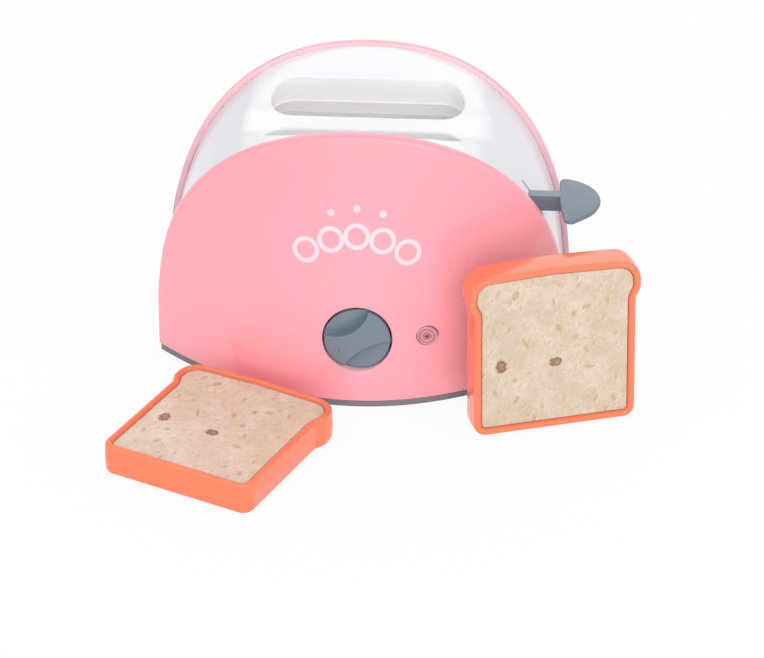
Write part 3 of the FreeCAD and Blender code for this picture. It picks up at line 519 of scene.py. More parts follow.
def lathe(profile, count=96):
    """A profile (radius, height) turned about an upright axis."""
    profile = np.array(profile, float)
    turn = np.linspace(0, 2 * math.pi, count, endpoint=False)
    height = np.broadcast_to(profile[:, 1:], (len(profile), count))
    reach = profile[:, :1]
    return sheet(np.stack([reach * np.cos(turn), reach * np.sin(turn), height], -1))


def moved(parts, place):
    """The parts with every point put through place."""
    return [(place(points), faces) for points, faces in parts]


def middle_of(node):
    """Middle of a node's box, in millimetres."""
    low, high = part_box(node)
    return [(a + b) / 2 / MM for a, b in zip(low, high)]


# ---- covers

SIDE_DEPTH = 27.5
BELLY = 48.5
CROWN_LOSS = 24.0
ARCH_FOOT = 5.0
ARCH_RISE = ARCH_TOP - ARCH_FOOT
ACROSS_POWER = 2.19
UP_POWER = 2.81
COVER_FOOT = 4.0
RIM_DEPTH = 4.0
EDGE_STEPS = 9
FOOT_POINTS = 202
FACE_RINGS = 90
ON_FACE = 0.06
ON_ARCH = 0.004
ON_LEG = 0.03
LEG_TOP = ARCH_FOOT + 0.1
LEVEL = 1e-3
SLOPE_STEP = 0.2
REAR_HUB = (0.0, 60.0)
WELL_HEIGHTS = (15.0, 88.0)
WELL_INSET = 18.0
WELL_RADIUS = 3.7
RING = (5.4, 1.05)
DOT = (0.0, 1.7)
PRINT_STRENGTH = 0.62
PRINT_EDGE = 0.2
PRINT_FRONT = (-0.030, -0.034)
# height band, in metres, over which the painted shade deepens the covers' pink
CROWN_SHADE_FADE = (0.035, 0.135)
MOTIF = (
    (-24.0, 82.0, *RING), (-12.0, 88.0, *RING), (0.5, 90.0, *RING), (13.0, 88.0, *RING),
    (25.0, 82.0, *RING), (-12.0, 101.0, *DOT), (0.5, 103.5, *DOT), (13.0, 101.0, *DOT))


def face_depth(x, z):
    """How far the cover's face stands from the middle plane.

    side + (belly - loss (z/top)^2) (1 - (x/w)^2)
    """
    return SIDE_DEPTH + (BELLY - CROWN_LOSS * (z / ARCH_TOP) ** 2) * (1 - (x / HALF_WIDTH) ** 2)


def arch_half(z):
    """Half width of the arch at a height: w (1 - rise^2.81)^(1/2.19)."""
    rise = np.clip((z - ARCH_FOOT) / ARCH_RISE, 0, 1)
    return HALF_WIDTH * (1 - rise ** UP_POWER) ** (1 / ACROSS_POWER)


def arch_path(count):
    """Evenly spaced points and outward normals of the arch, from the left foot to the right one.

    x = w cos(t)^(2/2.19), z = foot + rise sin(t)^(2/2.81).
    """
    t = np.linspace(math.pi, 0, 6001)
    x = HALF_WIDTH * np.sign(np.cos(t)) * np.abs(np.cos(t)) ** (2 / ACROSS_POWER)
    z = ARCH_FOOT + ARCH_RISE * np.abs(np.sin(t)) ** (2 / UP_POWER)
    x = np.concatenate([[-HALF_WIDTH], x, [HALF_WIDTH]])
    z = np.concatenate([[COVER_FOOT], z, [COVER_FOOT]])
    x, z = spaced(np.stack([x, z], 1), count, False).T
    along = unit(np.stack([np.gradient(x), np.gradient(z)], 1))
    return np.stack([x, z], 1), np.stack([-along[:, 1], along[:, 0]], 1)


def cover_skin(mirror, hub, hub_radius, holes, radius):
    """Outer skin of a cover as (points, quads): rolled edge and rim wall, then the bowed face.

    The edge is a ball of the given radius rolled in the corner between face and rim wall;
    the face is a fan of rays from the hub to the edge, lifted onto the bowed surface.
    """
    arch, normal = arch_path(LOOP_POINTS)
    depth = face_depth(*arch.T)
    slope = (face_depth(*(arch - SLOPE_STEP * normal).T) - depth) / SLOPE_STEP
    centre = -depth - slope * radius + radius * np.sqrt(1 + slope ** 2)
    turn = np.arctan2(1, slope)[:, None] * np.linspace(1, 0, EDGE_STEPS)
    y = centre[:, None] - radius * np.sin(turn)
    foot = RIM_DEPTH - depth
    y = np.column_stack([y, (y[:, -1] + foot) / 2, foot])
    inset = np.hstack([radius - radius * np.cos(turn), np.zeros((len(arch), 2))])
    ring = arch[:, None, :] - inset[:, :, None] * normal[:, None, :]
    edge = sheet(np.stack([ring[:, :, 0], y, ring[:, :, 1]], -1), loop_columns=False)

    start = ring[:, 0, :]
    loop = np.vstack([start, np.linspace(start[-1], start[0], FOOT_POINTS)[1:-1]])
    near = np.array(hub) + unit(loop - np.array(hub)) * hub_radius
    fan = near + (loop - near) * np.linspace(0, 1, FACE_RINGS)[:, None, None]
    for x, z, r in holes:
        away = fan - np.array((x, z))
        far = np.hypot(away[..., 0], away[..., 1])
        inside = far < r
        fan[inside] = np.array((x, z)) + away[inside] * (r / np.maximum(far[inside], 1e-6))[:, None]
    x, z = fan[..., 0], fan[..., 1]
    points, quads = sheet(np.stack([x, -face_depth(x, z), z], -1))
    for x, z, r in holes:
        far = np.hypot(points[:, 0] - x, points[:, 2] - z)
        quads = quads[~(far[quads] < r + 1e-6).all(1)]
    parts = [edge, (points, quads)]
    if mirror:
        parts = [(p * np.array((1, -1, 1)), f[:, ::-1]) for p, f in parts]
    return parts


def cover_inside(node, mirror):
    """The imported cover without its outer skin.

    Triangles go whose corners all lie on the face, the arch or its legs, unless they lie level.
    """
    points, triangles = cad_arrays(node)
    x, y, z = points[:, 0], points[:, 1] * (-1 if mirror else 1), points[:, 2]
    rise = np.clip((z - ARCH_FOOT) / ARCH_RISE, 0, 1)
    around = (np.abs(x) / HALF_WIDTH) ** ACROSS_POWER + rise ** UP_POWER
    on_leg = (z < LEG_TOP) & (np.abs(np.abs(x) - arch_half(z)) < ON_LEG)
    skin = (np.abs(y + face_depth(x, z)) < ON_FACE) | (np.abs(around - 1) < ON_ARCH) | on_leg
    level = np.ptp(z[triangles], axis=1) <= LEVEL
    return points, triangles[level | ~skin[triangles].all(1)]


def pink_moulding(name, colour, roughness=0.27, coat=0.35, grain=0.03):
    """Moulded plastic with hardly any drift of tone or wear."""
    return moulded(name, colour, roughness, coat, grain, tone=0.008, wear=0.08)


def pink_finish(name, colour, motif=()):
    """Glossy pink moulding with painted shade that deepens it a little towards the crown, and a
    pale printed motif.

    Each mark is where the distance from (x, z) is within half a line of its radius.
    """
    finish = pink_moulding(name, colour)
    x, y, z = finish.axes()
    # painted shade: the pink turns a little deeper from 35 mm to 135 mm up, towards the crown
    toned = finish.mix(z.step(*CROWN_SHADE_FADE), finish.base(), (1.0, 0.90, 0.915), "MULTIPLY")
    marks = 0.0
    for across, up, radius, half in motif:
        far = (distance(x - across * MM, z - up * MM) - radius * MM).math("ABSOLUTE")
        ink = far.step((half + PRINT_EDGE) * MM, (half - PRINT_EDGE) * MM)
        marks = ink.math("MAXIMUM", marks)
    if motif:
        toned = finish.mix(marks * y.step(*PRINT_FRONT) * PRINT_STRENGTH, toned, (1.0, 0.80, 0.84))
    return finish.feed({"Base Color": toned})


class TOASTER_OT_covers(bpy.types.Operator):
    """Front and rear covers: bowed pink faces with a rolled edge round the arch"""
    bl_idname = "toaster.covers"
    bl_label = "Covers"

    def execute(self, context):
        sizes, colours = context.scene.toaster_sizes, context.scene.toaster_colours
        radius = sizes.edge_radius / MM
        hub = middle_of("timer_knob")[::2]
        lamp = (*middle_of("lamp_lens")[::2], LENS_RADIUS + LENS_GAP)
        wells = [(side * (arch_half(z) - WELL_INSET), z, WELL_RADIUS)
                 for z in WELL_HEIGHTS for side in (-1, 1)]
        # painted light: the covers' inner and end faces get a much paler pink than the skin, for
        # the light on the rim's end faces
        pale = pink_moulding("pink_inside_painted_light", (1.0, 0.65, 0.69), 0.35, coat=0.0, grain=0.0)
        printed = pink_finish("pink_front", colours.cover, MOTIF)
        # painted light: the rear cover gets a paler copy of the covers' pink, for the light on its
        # rim
        lit_rear_pink = pink_finish("pink_rear_painted_light", shade(colours.cover, (1.0, 1.10, 1.09)))
        front = cover_skin(False, hub, KNOB_RADIUS + KNOB_GAP, [lamp], radius)
        build("front_cover_shell", front + [cover_inside("front_cover", False)],
              [printed, printed, pale], "body", ("front_cover",))
        rear = cover_skin(True, REAR_HUB, 0.0, wells, radius)
        build("rear_cover_shell", rear + [cover_inside("rear_cover", True)],
              [lit_rear_pink, lit_rear_pink, pale], "body", ("rear_cover",))
        return {"FINISHED"}


# ---- white body

DISH_FLOOR = 116.65
DISH_FLAT = 7.0
DISH_BEND = 34.0
DISH_SLOPE = math.radians(30)
BLEND = (4.0, 0.6)
BLEND_FADE = (28, 14)
SEAM = 65.0
SEAM_LAP = 0.05
INSET_START = 45
PANEL_INSET = 2.3
PANEL_SHELL = 1.8
SIDE_INSET = 3.03
PACKED_SIDE_INSET = 3.3
ON_SIDE = 0.006
SIDE_SEAM = SEAM + 0.12
SOCKET_PLAY = 0.06
SOCKET_WALL = 1.54
SOCKET_CAP = 0.3
SOCKET_GRIP = 5.5
SOCKET_ROOT = DISH_FLOOR - 1.6
RIM_GAP = 0.08
FLANK_START = 54.5
FLANK_END = 60.5
SLOT = (47.7, 12.3, 19.4)
CHUTE_BORE = (47.4, 9.9, 18.1)
SLOT_EDGE = 1.1
SLOT_BACK = 1.3
SLOT_LIP = 112.2
SLOT_LEDGE = 107.5
SLOT_WALL = (
    (0.85, SLOT_LEDGE + 0.1), (0.75, SLOT_LEDGE + 0.4), (0.75, SLOT_LIP - 0.5),
    (0.68, SLOT_LIP - 0.2), (0.45, SLOT_LIP), (0.1, SLOT_LIP + 0.05), (0.0, SLOT_LIP + 0.3))


def crown_z(x):
    """Arch drawn in by the panel's inset, and by the sides' inset at the seam.

    foot + rise (1 - (x/w)^2.19)^(1/2.81)
    """
    out = (np.abs(x) - INSET_START) / (SEAM - INSET_START)
    inset = PANEL_INSET + (SIDE_INSET - PANEL_INSET) * smooth(out)
    across = (np.abs(x) / (HALF_WIDTH - inset)) ** ACROSS_POWER
    return ARCH_FOOT + (ARCH_RISE - inset) * (1 - across) ** (1 / UP_POWER)


def dish_z(y):
    """Flat strip, an arc of the bend's radius, then a straight slope."""
    out = np.abs(y) - DISH_FLAT
    end = DISH_BEND * math.sin(DISH_SLOPE)
    arc = DISH_BEND - np.sqrt(DISH_BEND ** 2 - np.clip(out, 0, end) ** 2)
    return DISH_FLOOR + arc + np.maximum(out - end, 0) * math.tan(DISH_SLOPE)


def panel_z(points):
    """Smooth minimum of crown and dish.

    b + (a - b) h - k h (1 - h), with h = 1/2 + (b - a) / 2k from 0 to 1. The blend k narrows
    behind the slots.
    """
    crown, dish = crown_z(points[:, 0]), dish_z(points[:, 1])
    (wide, narrow), (start, length) = BLEND, BLEND_FADE
    blend = wide - (wide - narrow) * smooth((np.abs(points[:, 1]) - start) / length)
    h = np.clip(0.5 + 0.5 * (dish - crown) / blend, 0, 1)
    return dish + (crown - dish) * h - blend * h * (1 - h)


def in_slot(points, half, radius, middle):
    """Whether points lie in a shape with round ends."""
    side = np.maximum(np.abs(points[:, 0]) - (half - radius), 0)
    return np.hypot(side, points[:, 1] - middle) < radius


def rim_edge(x):
    """How far back the panel reaches: to the edge of the rear cover's rim."""
    return face_depth(x, crown_z(x)) - RIM_DEPTH - RIM_GAP


def in_half_panel(points):
    """Whether points lie between the middle line, the seams and the rear cover's rim."""
    x, y = points.T
    rim = rim_edge(np.clip(x, -SEAM - 5, SEAM + 5))
    return (np.abs(x) < SEAM + SEAM_LAP) & (y > 0) & (y < rim)


def last_inside(inside, centre, ways):
    """The last point that is inside on each way out from the centre, by halving."""
    near, beyond = np.zeros(len(ways)), np.full(len(ways), 150.0)
    for _ in range(40):
        middle = (near + beyond) / 2
        ok = inside(centre + ways * middle[:, None])
        near, beyond = np.where(ok, middle, near), np.where(ok, beyond, middle)
    return centre + ways * near[:, None]


def top_panel_parts():
    """Each half of the panel is one closed surface of rings round its slot.

    Rings run from the seam in along the underside, down the slot wall's back, over the ledge on the
    chute, up past the lip, round the slot's quarter-circle edge and out over the dish to the seam.
    """
    half, radius, middle = SLOT
    centre = np.array((0.0, middle))
    low, high = middle - radius, middle + radius
    even, _ = rounded_loop([(half, low, radius - 0.01), (half, high, radius - 0.01),
                            (-half, high, radius - 0.01), (-half, low, radius - 0.01)])
    end = SEAM + SEAM_LAP
    corners = np.array([(x, y) for x in (-end, end) for y in (0.0, float(rim_edge(end)))])
    away = np.vstack([even, corners]) - centre
    angle = np.unique(np.arctan2(away[:, 1], away[:, 0]))
    ways = np.stack([np.cos(angle), np.sin(angle)], 1)
    slot = last_inside(lambda p: in_slot(p, *SLOT), centre, ways)
    bore = last_inside(lambda p: in_slot(p, *CHUTE_BORE), centre, ways)
    seam = last_inside(in_half_panel, centre, ways)
    seam[np.abs(seam[:, 1]) < 1e-6, 1] = 0.0
    spine = np.clip(slot[:, 0], radius - half, half - radius)
    normal = unit(slot - np.stack([spine, np.full(len(slot), middle)], 1))

    rings = []

    def ring(points, z):
        rings.append(np.column_stack([points, np.broadcast_to(z, len(points))]))

    back = slot + normal * SLOT_BACK
    for share in np.linspace(1, 0, 12):
        points = back + (seam - back) * share
        ring(points, panel_z(points) - PANEL_SHELL)
    for points, z in ((back, SLOT_LEDGE - 0.2), (bore, SLOT_LEDGE - 0.2), (bore, SLOT_LEDGE)):
        ring(points, z)
    for inset, z in SLOT_WALL:
        ring(slot - normal * inset, z)
    foot, top = SLOT_WALL[-1][1], panel_z(slot) - SLOT_EDGE
    for share in (0.33, 0.67):
        ring(slot, foot + (top - foot) * share)
    for turn in np.linspace(0, math.pi / 2, 7):
        points = slot + normal * SLOT_EDGE * (1 - math.cos(turn))
        ring(points, panel_z(points) - SLOT_EDGE * (1 - math.sin(turn)))
    edge = slot + normal * SLOT_EDGE
    for share in np.linspace(0, 1, 29)[1:]:
        points = edge + (seam - edge) * share
        ring(points, panel_z(points))
    points, faces = sheet(np.stack(rings), True)
    faces = faces[~(np.abs(points[:, 1]) < 1e-9)[faces].all(1)]
    return [(points, faces), (points * np.array((1, -1, 1)), faces[:, ::-1])]


def rod_sockets():
    """Tubes with a closed top, round the guide rods' ends."""
    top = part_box("guide_rods")[1]
    middle = abs(middle_of("lift_spring")[0])
    bore = top.x / MM - middle + SOCKET_PLAY
    outside, end = bore + SOCKET_WALL, top.z / MM
    cap, grip = end + SOCKET_CAP, end - SOCKET_GRIP
    tube = lathe([(0, cap), (bore, cap), (bore, grip), (outside, grip), (outside, SOCKET_ROOT),
                  (0, SOCKET_ROOT)], 40)
    return [(tube[0] + np.array((x, 0, 0)), tube[1]) for x in (-middle, middle)]


def side_skin(node):
    """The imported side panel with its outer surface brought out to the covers' rims."""
    points, triangles = cad_arrays(node)
    x, z = points[:, 0], points[:, 2]
    wide, rise = HALF_WIDTH - PACKED_SIDE_INSET, ARCH_RISE - PACKED_SIDE_INSET
    across, up = np.abs(x) / wide, np.clip(z - ARCH_FOOT, 0, None) / rise
    outer = np.abs(across ** ACROSS_POWER + up ** UP_POWER - 1) < ON_SIDE
    normal = unit(np.stack([ACROSS_POWER * across ** (ACROSS_POWER - 1) / wide * np.sign(x),
                            UP_POWER * up ** (UP_POWER - 1) / rise], 1))
    at_seam = np.abs(x) < SIDE_SEAM
    normal[at_seam] = np.stack([np.zeros(at_seam.sum()), 1 / normal[at_seam, 1]], 1)
    points[np.ix_(outer, (0, 2))] += normal[outer] * (PACKED_SIDE_INSET - SIDE_INSET)
    return points, triangles


def paint_flank_shade(finish, flank):
    """Painted shade: fades the panel's white to the sides' greyer white just inside the seams."""
    out = finish.axes()[0].math("ABSOLUTE").step(FLANK_START * MM, FLANK_END * MM)
    finish.feed({"Base Color": finish.mix(out, finish.base(), flank)})


def paint_slot_light_and_shade(finish):
    """Paints light and shade in the slots: inside the slots' outline the plastic turns a brighter,
    warmer white above the lip, a painted light, and a duller, darker white below it, a painted
    shade.
    """
    x, y, z = finish.axes()
    low = z.step((SLOT_LIP + 0.1) * MM, (SLOT_LIP - 0.3) * MM)
    half, radius, middle = (length * MM for length in SLOT)
    side = (x.math("ABSOLUTE") - (half - radius)).math("MAXIMUM", 0.0)
    far = distance(side, y.math("ABSOLUTE") - middle)
    # painted light on the slot wall above the lip, painted shade deeper in below it
    warm = finish.mix(low, (0.95, 0.945, 0.93), (0.80, 0.765, 0.77))
    inside = far.step(radius + 0.0002, radius - 0.0001)
    finish.feed({"Base Color": finish.mix(inside, finish.base(), warm)})


class TOASTER_OT_body(bpy.types.Operator):
    """Dished top panel, side walls and the two bread chutes"""
    bl_idname = "toaster.body"
    bl_label = "White body"

    def execute(self, context):
        colour = context.scene.toaster_colours.body
        # painted shade: the side walls get a greyer copy of the body's white, for the shade where
        # they turn away from the top light
        flank = shade(colour, (0.88, 0.87, 0.91))
        white, shaded_side_white = (moulded(name, own, 0.22, coat=0.2, grain=0.03, tone=0.006, wear=0.1)
                             for name, own in (("white_gloss", colour), ("white_sides_painted_shade", flank)))
        paint_flank_shade(white, flank)
        paint_slot_light_and_shade(white)
        # painted light: the chutes get a paler white than the body, for light bounced inside the
        # slots
        satin = moulded("chute_white_painted_light", (0.92, 0.90, 0.90), 0.5, grain=0.1, tone=0.01)
        build("top_panel_skin", top_panel_parts() + rod_sockets(), white, "body",
              ("top_panel",), mend=True)
        for node in ("left_side_panel", "right_side_panel"):
            build(node + "_skin", [side_skin(node)], shaded_side_white, "body", (node,))
        for node in ("front_bread_chute", "rear_bread_chute"):
            dress(node, satin, "body")
        return {"FINISHED"}


class TOASTER_OT_base(bpy.types.Operator):
    """Grey base plate with the battery door"""
    bl_idname = "toaster.base"
    bl_label = "Base"

    def execute(self, context):
        grey = moulded("base_satin", (0.20, 0.19, 0.215), 0.45, grain=0.25, tone=0.03)
        dress("base_plate", grey, "body")
        dress("battery_door", grey, "body", bevel=0.25)
        return {"FINISHED"}


# ---- controls

KNOB_RADIUS = 16.1
KNOB_GAP = 1.0
KNOB_DEPTH = 8.0
KNOB_SCOOPS = ((122.0, 18.0, 4.4), (-57.0, 34.0, 6.0))
KNOB_DEEP = 4.6
KNOB_SHALLOW = 0.6
KNOB_WALL = 0.9
KNOB_MARK = (214.0, 12.2)
MARK_GROOVE = (0.45, 1.7, 0.5)
MARK_DOT = (0.35, 1.0, 0.6)
LENS_RADIUS = 5.2
LENS_GAP = 0.15
LENS_HIGHLIGHT_RINGS = ((0.0027, 0.0008), (0.0045, 0.0007))
LENS_GROOVES = ((0.36, 0.4, 0.3), (0.68, 0.4, 0.3), (0.0, 0.55, 0.25))
PADDLE_BOW = 21.4
PADDLE_STEP = 16.25
PADDLE_ARCS = ((-2.2, 21.3), (-0.2, 21.3), (1.8, 21.3), (3.8, 19.8))
PADDLE_MIDDLE = (-1.2, -19.5)
PADDLE_BACK = ((0.0, 2.0, 2.8), (0.2, -22.0, 30.0), (3.8, -45.2, 3.2))
PADDLE_EDGE = 2.2
PADDLE_ROLL = (1.2, 1.7, 1.2, 1.1)
PADDLE_POWER = 2.4


def knob_part(edge):
    """The knob's front is a height field on rays and circles; a side wall and a flat back close it.

    Each scoop is a circle's inside whose floor falls in a straight line from the rim to the grip;
    its wall rises over 0.9 mm. The edge is a quarter circle, the mark a small ring groove.
    """
    turn = np.linspace(0, 2 * math.pi, LOOP_POINTS, endpoint=False)
    flat = KNOB_RADIUS - edge
    bend = np.sin(np.linspace(0, math.pi / 2, 9)[1:])
    reach = np.append(np.linspace(0, flat, 150), flat + edge * bend)
    u, v = reach[:, None] * np.cos(turn), reach[:, None] * np.sin(turn)
    rim = edge - np.sqrt(np.maximum(edge ** 2 - np.maximum(reach - flat, 0) ** 2, 0))
    deep = np.broadcast_to(rim[:, None], u.shape).copy()

    def away(direction, out):
        angle = math.radians(direction)
        return np.hypot(u - out * math.cos(angle), v - out * math.sin(angle))

    for direction, radius, grip in KNOB_SCOOPS:
        slope = (KNOB_DEEP - KNOB_SHALLOW) / (KNOB_RADIUS - grip)
        angle = math.radians(direction)
        floor = KNOB_DEEP - slope * (u * math.cos(angle) + v * math.sin(angle) - grip)
        wall = smooth((radius - away(direction, grip + radius)) / KNOB_WALL)
        deep = np.maximum(deep, wall * floor)
    mark = away(*KNOB_MARK)
    groove, dot = (drop * smooth((radius - mark) / wall) for drop, radius, wall in (
        MARK_GROOVE, MARK_DOT))
    deep += groove - dot
    rows = [np.stack([u, deep, v], -1)]
    for share, down in ((1, 0.5), (1, 1), (0.5, 1), (0, 1)):
        level = np.full((1, len(turn)), down * KNOB_DEPTH)
        rows.append(np.stack([u[-1:] * share, level, v[-1:] * share], -1))
    return sheet(np.concatenate(rows))


def lens_part(flange, depth):
    """Profile of a low dome with two grooves and a dot, its wall, and the flange behind, turned."""
    reach = np.linspace(0, LENS_RADIUS - 0.5, 70)
    dome = 0.5 * (reach / LENS_RADIUS) ** 2
    for at, half, drop in LENS_GROOVES:
        dome += drop * smooth(1.3 - np.abs(reach - at * LENS_RADIUS) / half)
    end, back = dome[-1], depth - 2.0
    return lathe([*zip(reach, dome), (LENS_RADIUS - 0.2, end + 0.12),
                  (LENS_RADIUS - 0.02, end + 0.4), (LENS_RADIUS, end + 0.8), (LENS_RADIUS, back),
                  (flange, back), (flange, depth), (0.0, depth)])


def paddle_parts():
    """Thumb paddle: its plan outline with a thin rolled edge, a faint dome above and a bowl below.

    The outer side of the plan is a bow of four arcs. Dome and bowl fall from the middle with the
    share of the way to the edge to a power.
    """
    (x, _, low), (_, y, top) = [[c / MM for c in corner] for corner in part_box("lever_paddle")]
    spread = PADDLE_BOW / math.cos(math.radians(PADDLE_STEP))
    plan = [(x + a, y + b, radius) for a, b, radius in PADDLE_BACK]
    for turn, radius in PADDLE_ARCS:
        angle = math.radians(turn * PADDLE_STEP)
        plan.append((x + PADDLE_MIDDLE[0] + spread * math.cos(angle),
                     y + PADDLE_MIDDLE[1] + spread * math.sin(angle), radius))
    loop, normal = rounded_loop(plan, 260)
    section = [(0.0, PADDLE_EDGE)] + quarter(*PADDLE_ROLL)
    parts = [band(loop, normal, section, False)]
    share = np.linspace(0, 1, 24) ** PADDLE_POWER
    for (inset, at), deep in ((section[-1], 0.0), (section[0], top - low)):
        parts.append(lid(loop - inset * normal, deep + (at - deep) * share, 24))
    return moved(parts, lambda p: np.stack([p[:, 0], p[:, 2], top - p[:, 1]], 1))


class TOASTER_OT_controls(bpy.types.Operator):
    """Lever arm and paddle, timer knob, and the lamp's lens"""
    bl_idname = "toaster.controls"
    bl_label = "Controls"

    def execute(self, context):
        colour = context.scene.toaster_colours.controls
        grey = moulded("control_grey", colour, 0.26, coat=0.2, grain=0.08, tone=0.02)
        # painted shade: the paddle gets a darker copy of the control grey, against the light on its
        # top
        paddle_shade_copy = moulded("paddle_grey_painted_shade", shade(colour, 0.84), 0.3, coat=0.1, grain=0.08, tone=0.02)
        dress("lever_arm", grey, "bread_lift", bevel=0.5)
        build("paddle_skin", paddle_parts(), paddle_shade_copy, "bread_lift",
              ("lever_paddle",), mend=True)
        x, _, z = middle_of("timer_knob")
        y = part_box("timer_knob")[0].y / MM
        knob = knob_part(context.scene.toaster_sizes.knob_edge / MM)
        build("knob_skin", moved([knob], lambda p: p + np.array((x, y, z))), grey, "knob",
              ("timer_knob",), mend=True)
        x, _, z = middle_of("lamp_lens")
        low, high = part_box("lamp_lens")
        lens = lens_part((high.x - low.x) / 2 / MM, (high.y - low.y) / MM)
        place = np.array((x, low.y / MM, z))
        build("lens_skin", moved([lens], lambda p: p[:, (0, 2, 1)] + place), lens_finish(x, z),
              "body", ("lamp_lens",), mend=True)
        return {"FINISHED"}


def lens_finish(x, z):
    """Dusty red clear plastic with painted highlights: paler rings on the crests between the
    grooves, dark at the dot.
    """
    finish = Finish("lamp_red", roughness=0.12)
    across, _, up = finish.axes()
    far = distance(across - x * MM, up - z * MM) + (finish.noise(500.0, 2.0) - 0.5) * 0.0004
    # painted highlight: paler rings on the lens's crests, where they catch the light
    inner, outer = ((far - at).math("ABSOLUTE").step(half, 0.0002)
                    for at, half in LENS_HIGHLIGHT_RINGS)
    toned = finish.mix(inner.math("MAXIMUM", outer) * 0.6, (0.46, 0.16, 0.21), (0.74, 0.42, 0.49))
    toned = finish.mix(far.step(0.0010, 0.0006), toned, (0.11, 0.02, 0.03))
    return finish.feed({"Base Color": toned, "Coat Weight": 0.5,
                        "Normal": finish.bump(finish.noise(900.0, 2.0), 0.05, 0.0001)})


# ---- bread slices

SLICE_WIDTH = 80.5
SLICE_HEIGHT = 86.0
SLICE_THICK = 16.2
SLICE_RIM = 3.7
SLICE_LEDGE = 1.3
SLICE_RECESS = 1.5
SLICE_FACE = 1.2
SLICE_DRAFT = 0.43
SLICE_EAR = 2.2
SLICE_WAIST = 21.5
SLICE_TAPER = 0.3
EAR_RISE = 5.5
SHOULDER_DROP = 1.6
FOOT_ROUND = 5.8
WAIST_ROUND = 2.5
EAR_ROUND = 6.0
SHOULDER_ROUND = 11.0
CROWN_ROUND = 60.0
RIM_CREST = 1.6
RIM_ROUND = 2.2
RIM_SLOPE = ((3.62, 1.45), (3.4, 1.15), (3.05, 0.82), (2.7, 0.52), (2.35, 0.27), (2.0, 0.09))
STAND_TURN = 17.8
STAND_PLACE = (98.1, -88.6, 0)
LIE_TURN = -24.7
LIE_PLACE = (-79.4, -157.3, SLICE_THICK)


def slice_loop():
    """Bread outline: straight foot, waist, two ears and a low crown."""
    half, waist = SLICE_WIDTH / 2, SLICE_HEIGHT - SLICE_WAIST
    ear = half + SLICE_EAR
    right = [(half, 0.0, FOOT_ROUND), (half - SLICE_TAPER, waist, WAIST_ROUND),
             (ear, waist + EAR_RISE, EAR_ROUND),
             (ear - SLICE_TAPER, SLICE_HEIGHT - SHOULDER_DROP, SHOULDER_ROUND)]
    left = [(-u, v, r) for u, v, r in reversed(right)]
    return rounded_loop(right + [(0.0, SLICE_HEIGHT, CROWN_ROUND)] + left)


def crust_parts():
    """Crust: one closed section carried round the outline, and the section's inset at each point.

    The outside bulges by the draft at mid thickness; each rim is a quarter ellipse outside, a thin
    crest and a slope inside; behind it lie the pocket's wall, the ledge and the inner wall.
    """
    loop, normal = slice_loop()
    pocket, draft = SLICE_RECESS + SLICE_FACE, SLICE_DRAFT / (SLICE_THICK / 2)
    half = [(SLICE_RIM + SLICE_LEDGE, pocket), (SLICE_RIM, pocket), (SLICE_RIM, 1.75), *RIM_SLOPE]
    half += quarter(RIM_CREST - draft * RIM_ROUND, RIM_ROUND, RIM_CREST, RIM_ROUND, 10)[::-1]
    half += [(-draft * d, d) for d in np.linspace(RIM_ROUND + 1.0, SLICE_THICK / 2, 5)]
    section = half + [(i, SLICE_THICK - d) for i, d in half[-2::-1]]
    return band(loop, normal, section, True), np.tile([inset for inset, _ in section], len(loop))


def face_parts():
    """The crumb plates: the outline drawn in past the rim, with softened edges and flat lids."""
    loop, normal = slice_loop()
    inset, soft = SLICE_RIM + 0.15, ((0.25, 0.0), (0.07, 0.07), (0.0, 0.25))
    parts = []
    for deep in (SLICE_RECESS, SLICE_THICK - SLICE_RECESS - SLICE_FACE):
        section = [(inset + i, deep + d) for i, d in soft]
        section += [(inset + i, deep + SLICE_FACE - d) for i, d in reversed(soft)]
        parts.append(band(loop, normal, section, False))
        parts += [lid(loop - i * normal, d, 30) for i, d in (section[0], section[-1])]
    return parts


def turned(points, axis, degrees):
    """The points turned about an axis through the origin."""
    return points @ np.array(Matrix.Rotation(math.radians(degrees), 3, axis)).T


def stand_up(points):
    """Standing slice: leans back on the rear half of its drafted foot, then turns and moves."""
    ridge = np.array((0, SLICE_THICK / 2, -SLICE_DRAFT))
    lean = math.degrees(math.atan2(SLICE_DRAFT, SLICE_THICK / 2))
    points = turned(points - ridge, "X", -lean) + ridge + np.array((0, 0, SLICE_DRAFT))
    return turned(points, "Z", STAND_TURN) + np.array(STAND_PLACE)


def lie_down(points):
    """Lying slice: on its back, foot towards the viewer, turned and moved to its place."""
    return turned(turned(points, "X", -90), "Z", LIE_TURN) + np.array(LIE_PLACE)


def shaded_crust_finish(colour):
    """Orange plastic with painted shade that deepens it down the rim's inner slope, by the inset in
    its UV map.
    """
    finish = moulded("crust_orange", colour, 0.22, coat=0.3, grain=0.05, tone=0.015, wear=0.1)
    uv = finish.add("ShaderNodeUVMap", {"uv_map": "section_mm"}).outputs[0]
    # painted shade in the recess: darker orange down the rim's inner slope
    deep = finish.axes(uv)[1].step(2.3, 3.6) * 0.85
    return finish.feed({"Base Color": finish.mix(deep, finish.base(), shade(colour, 0.66))})


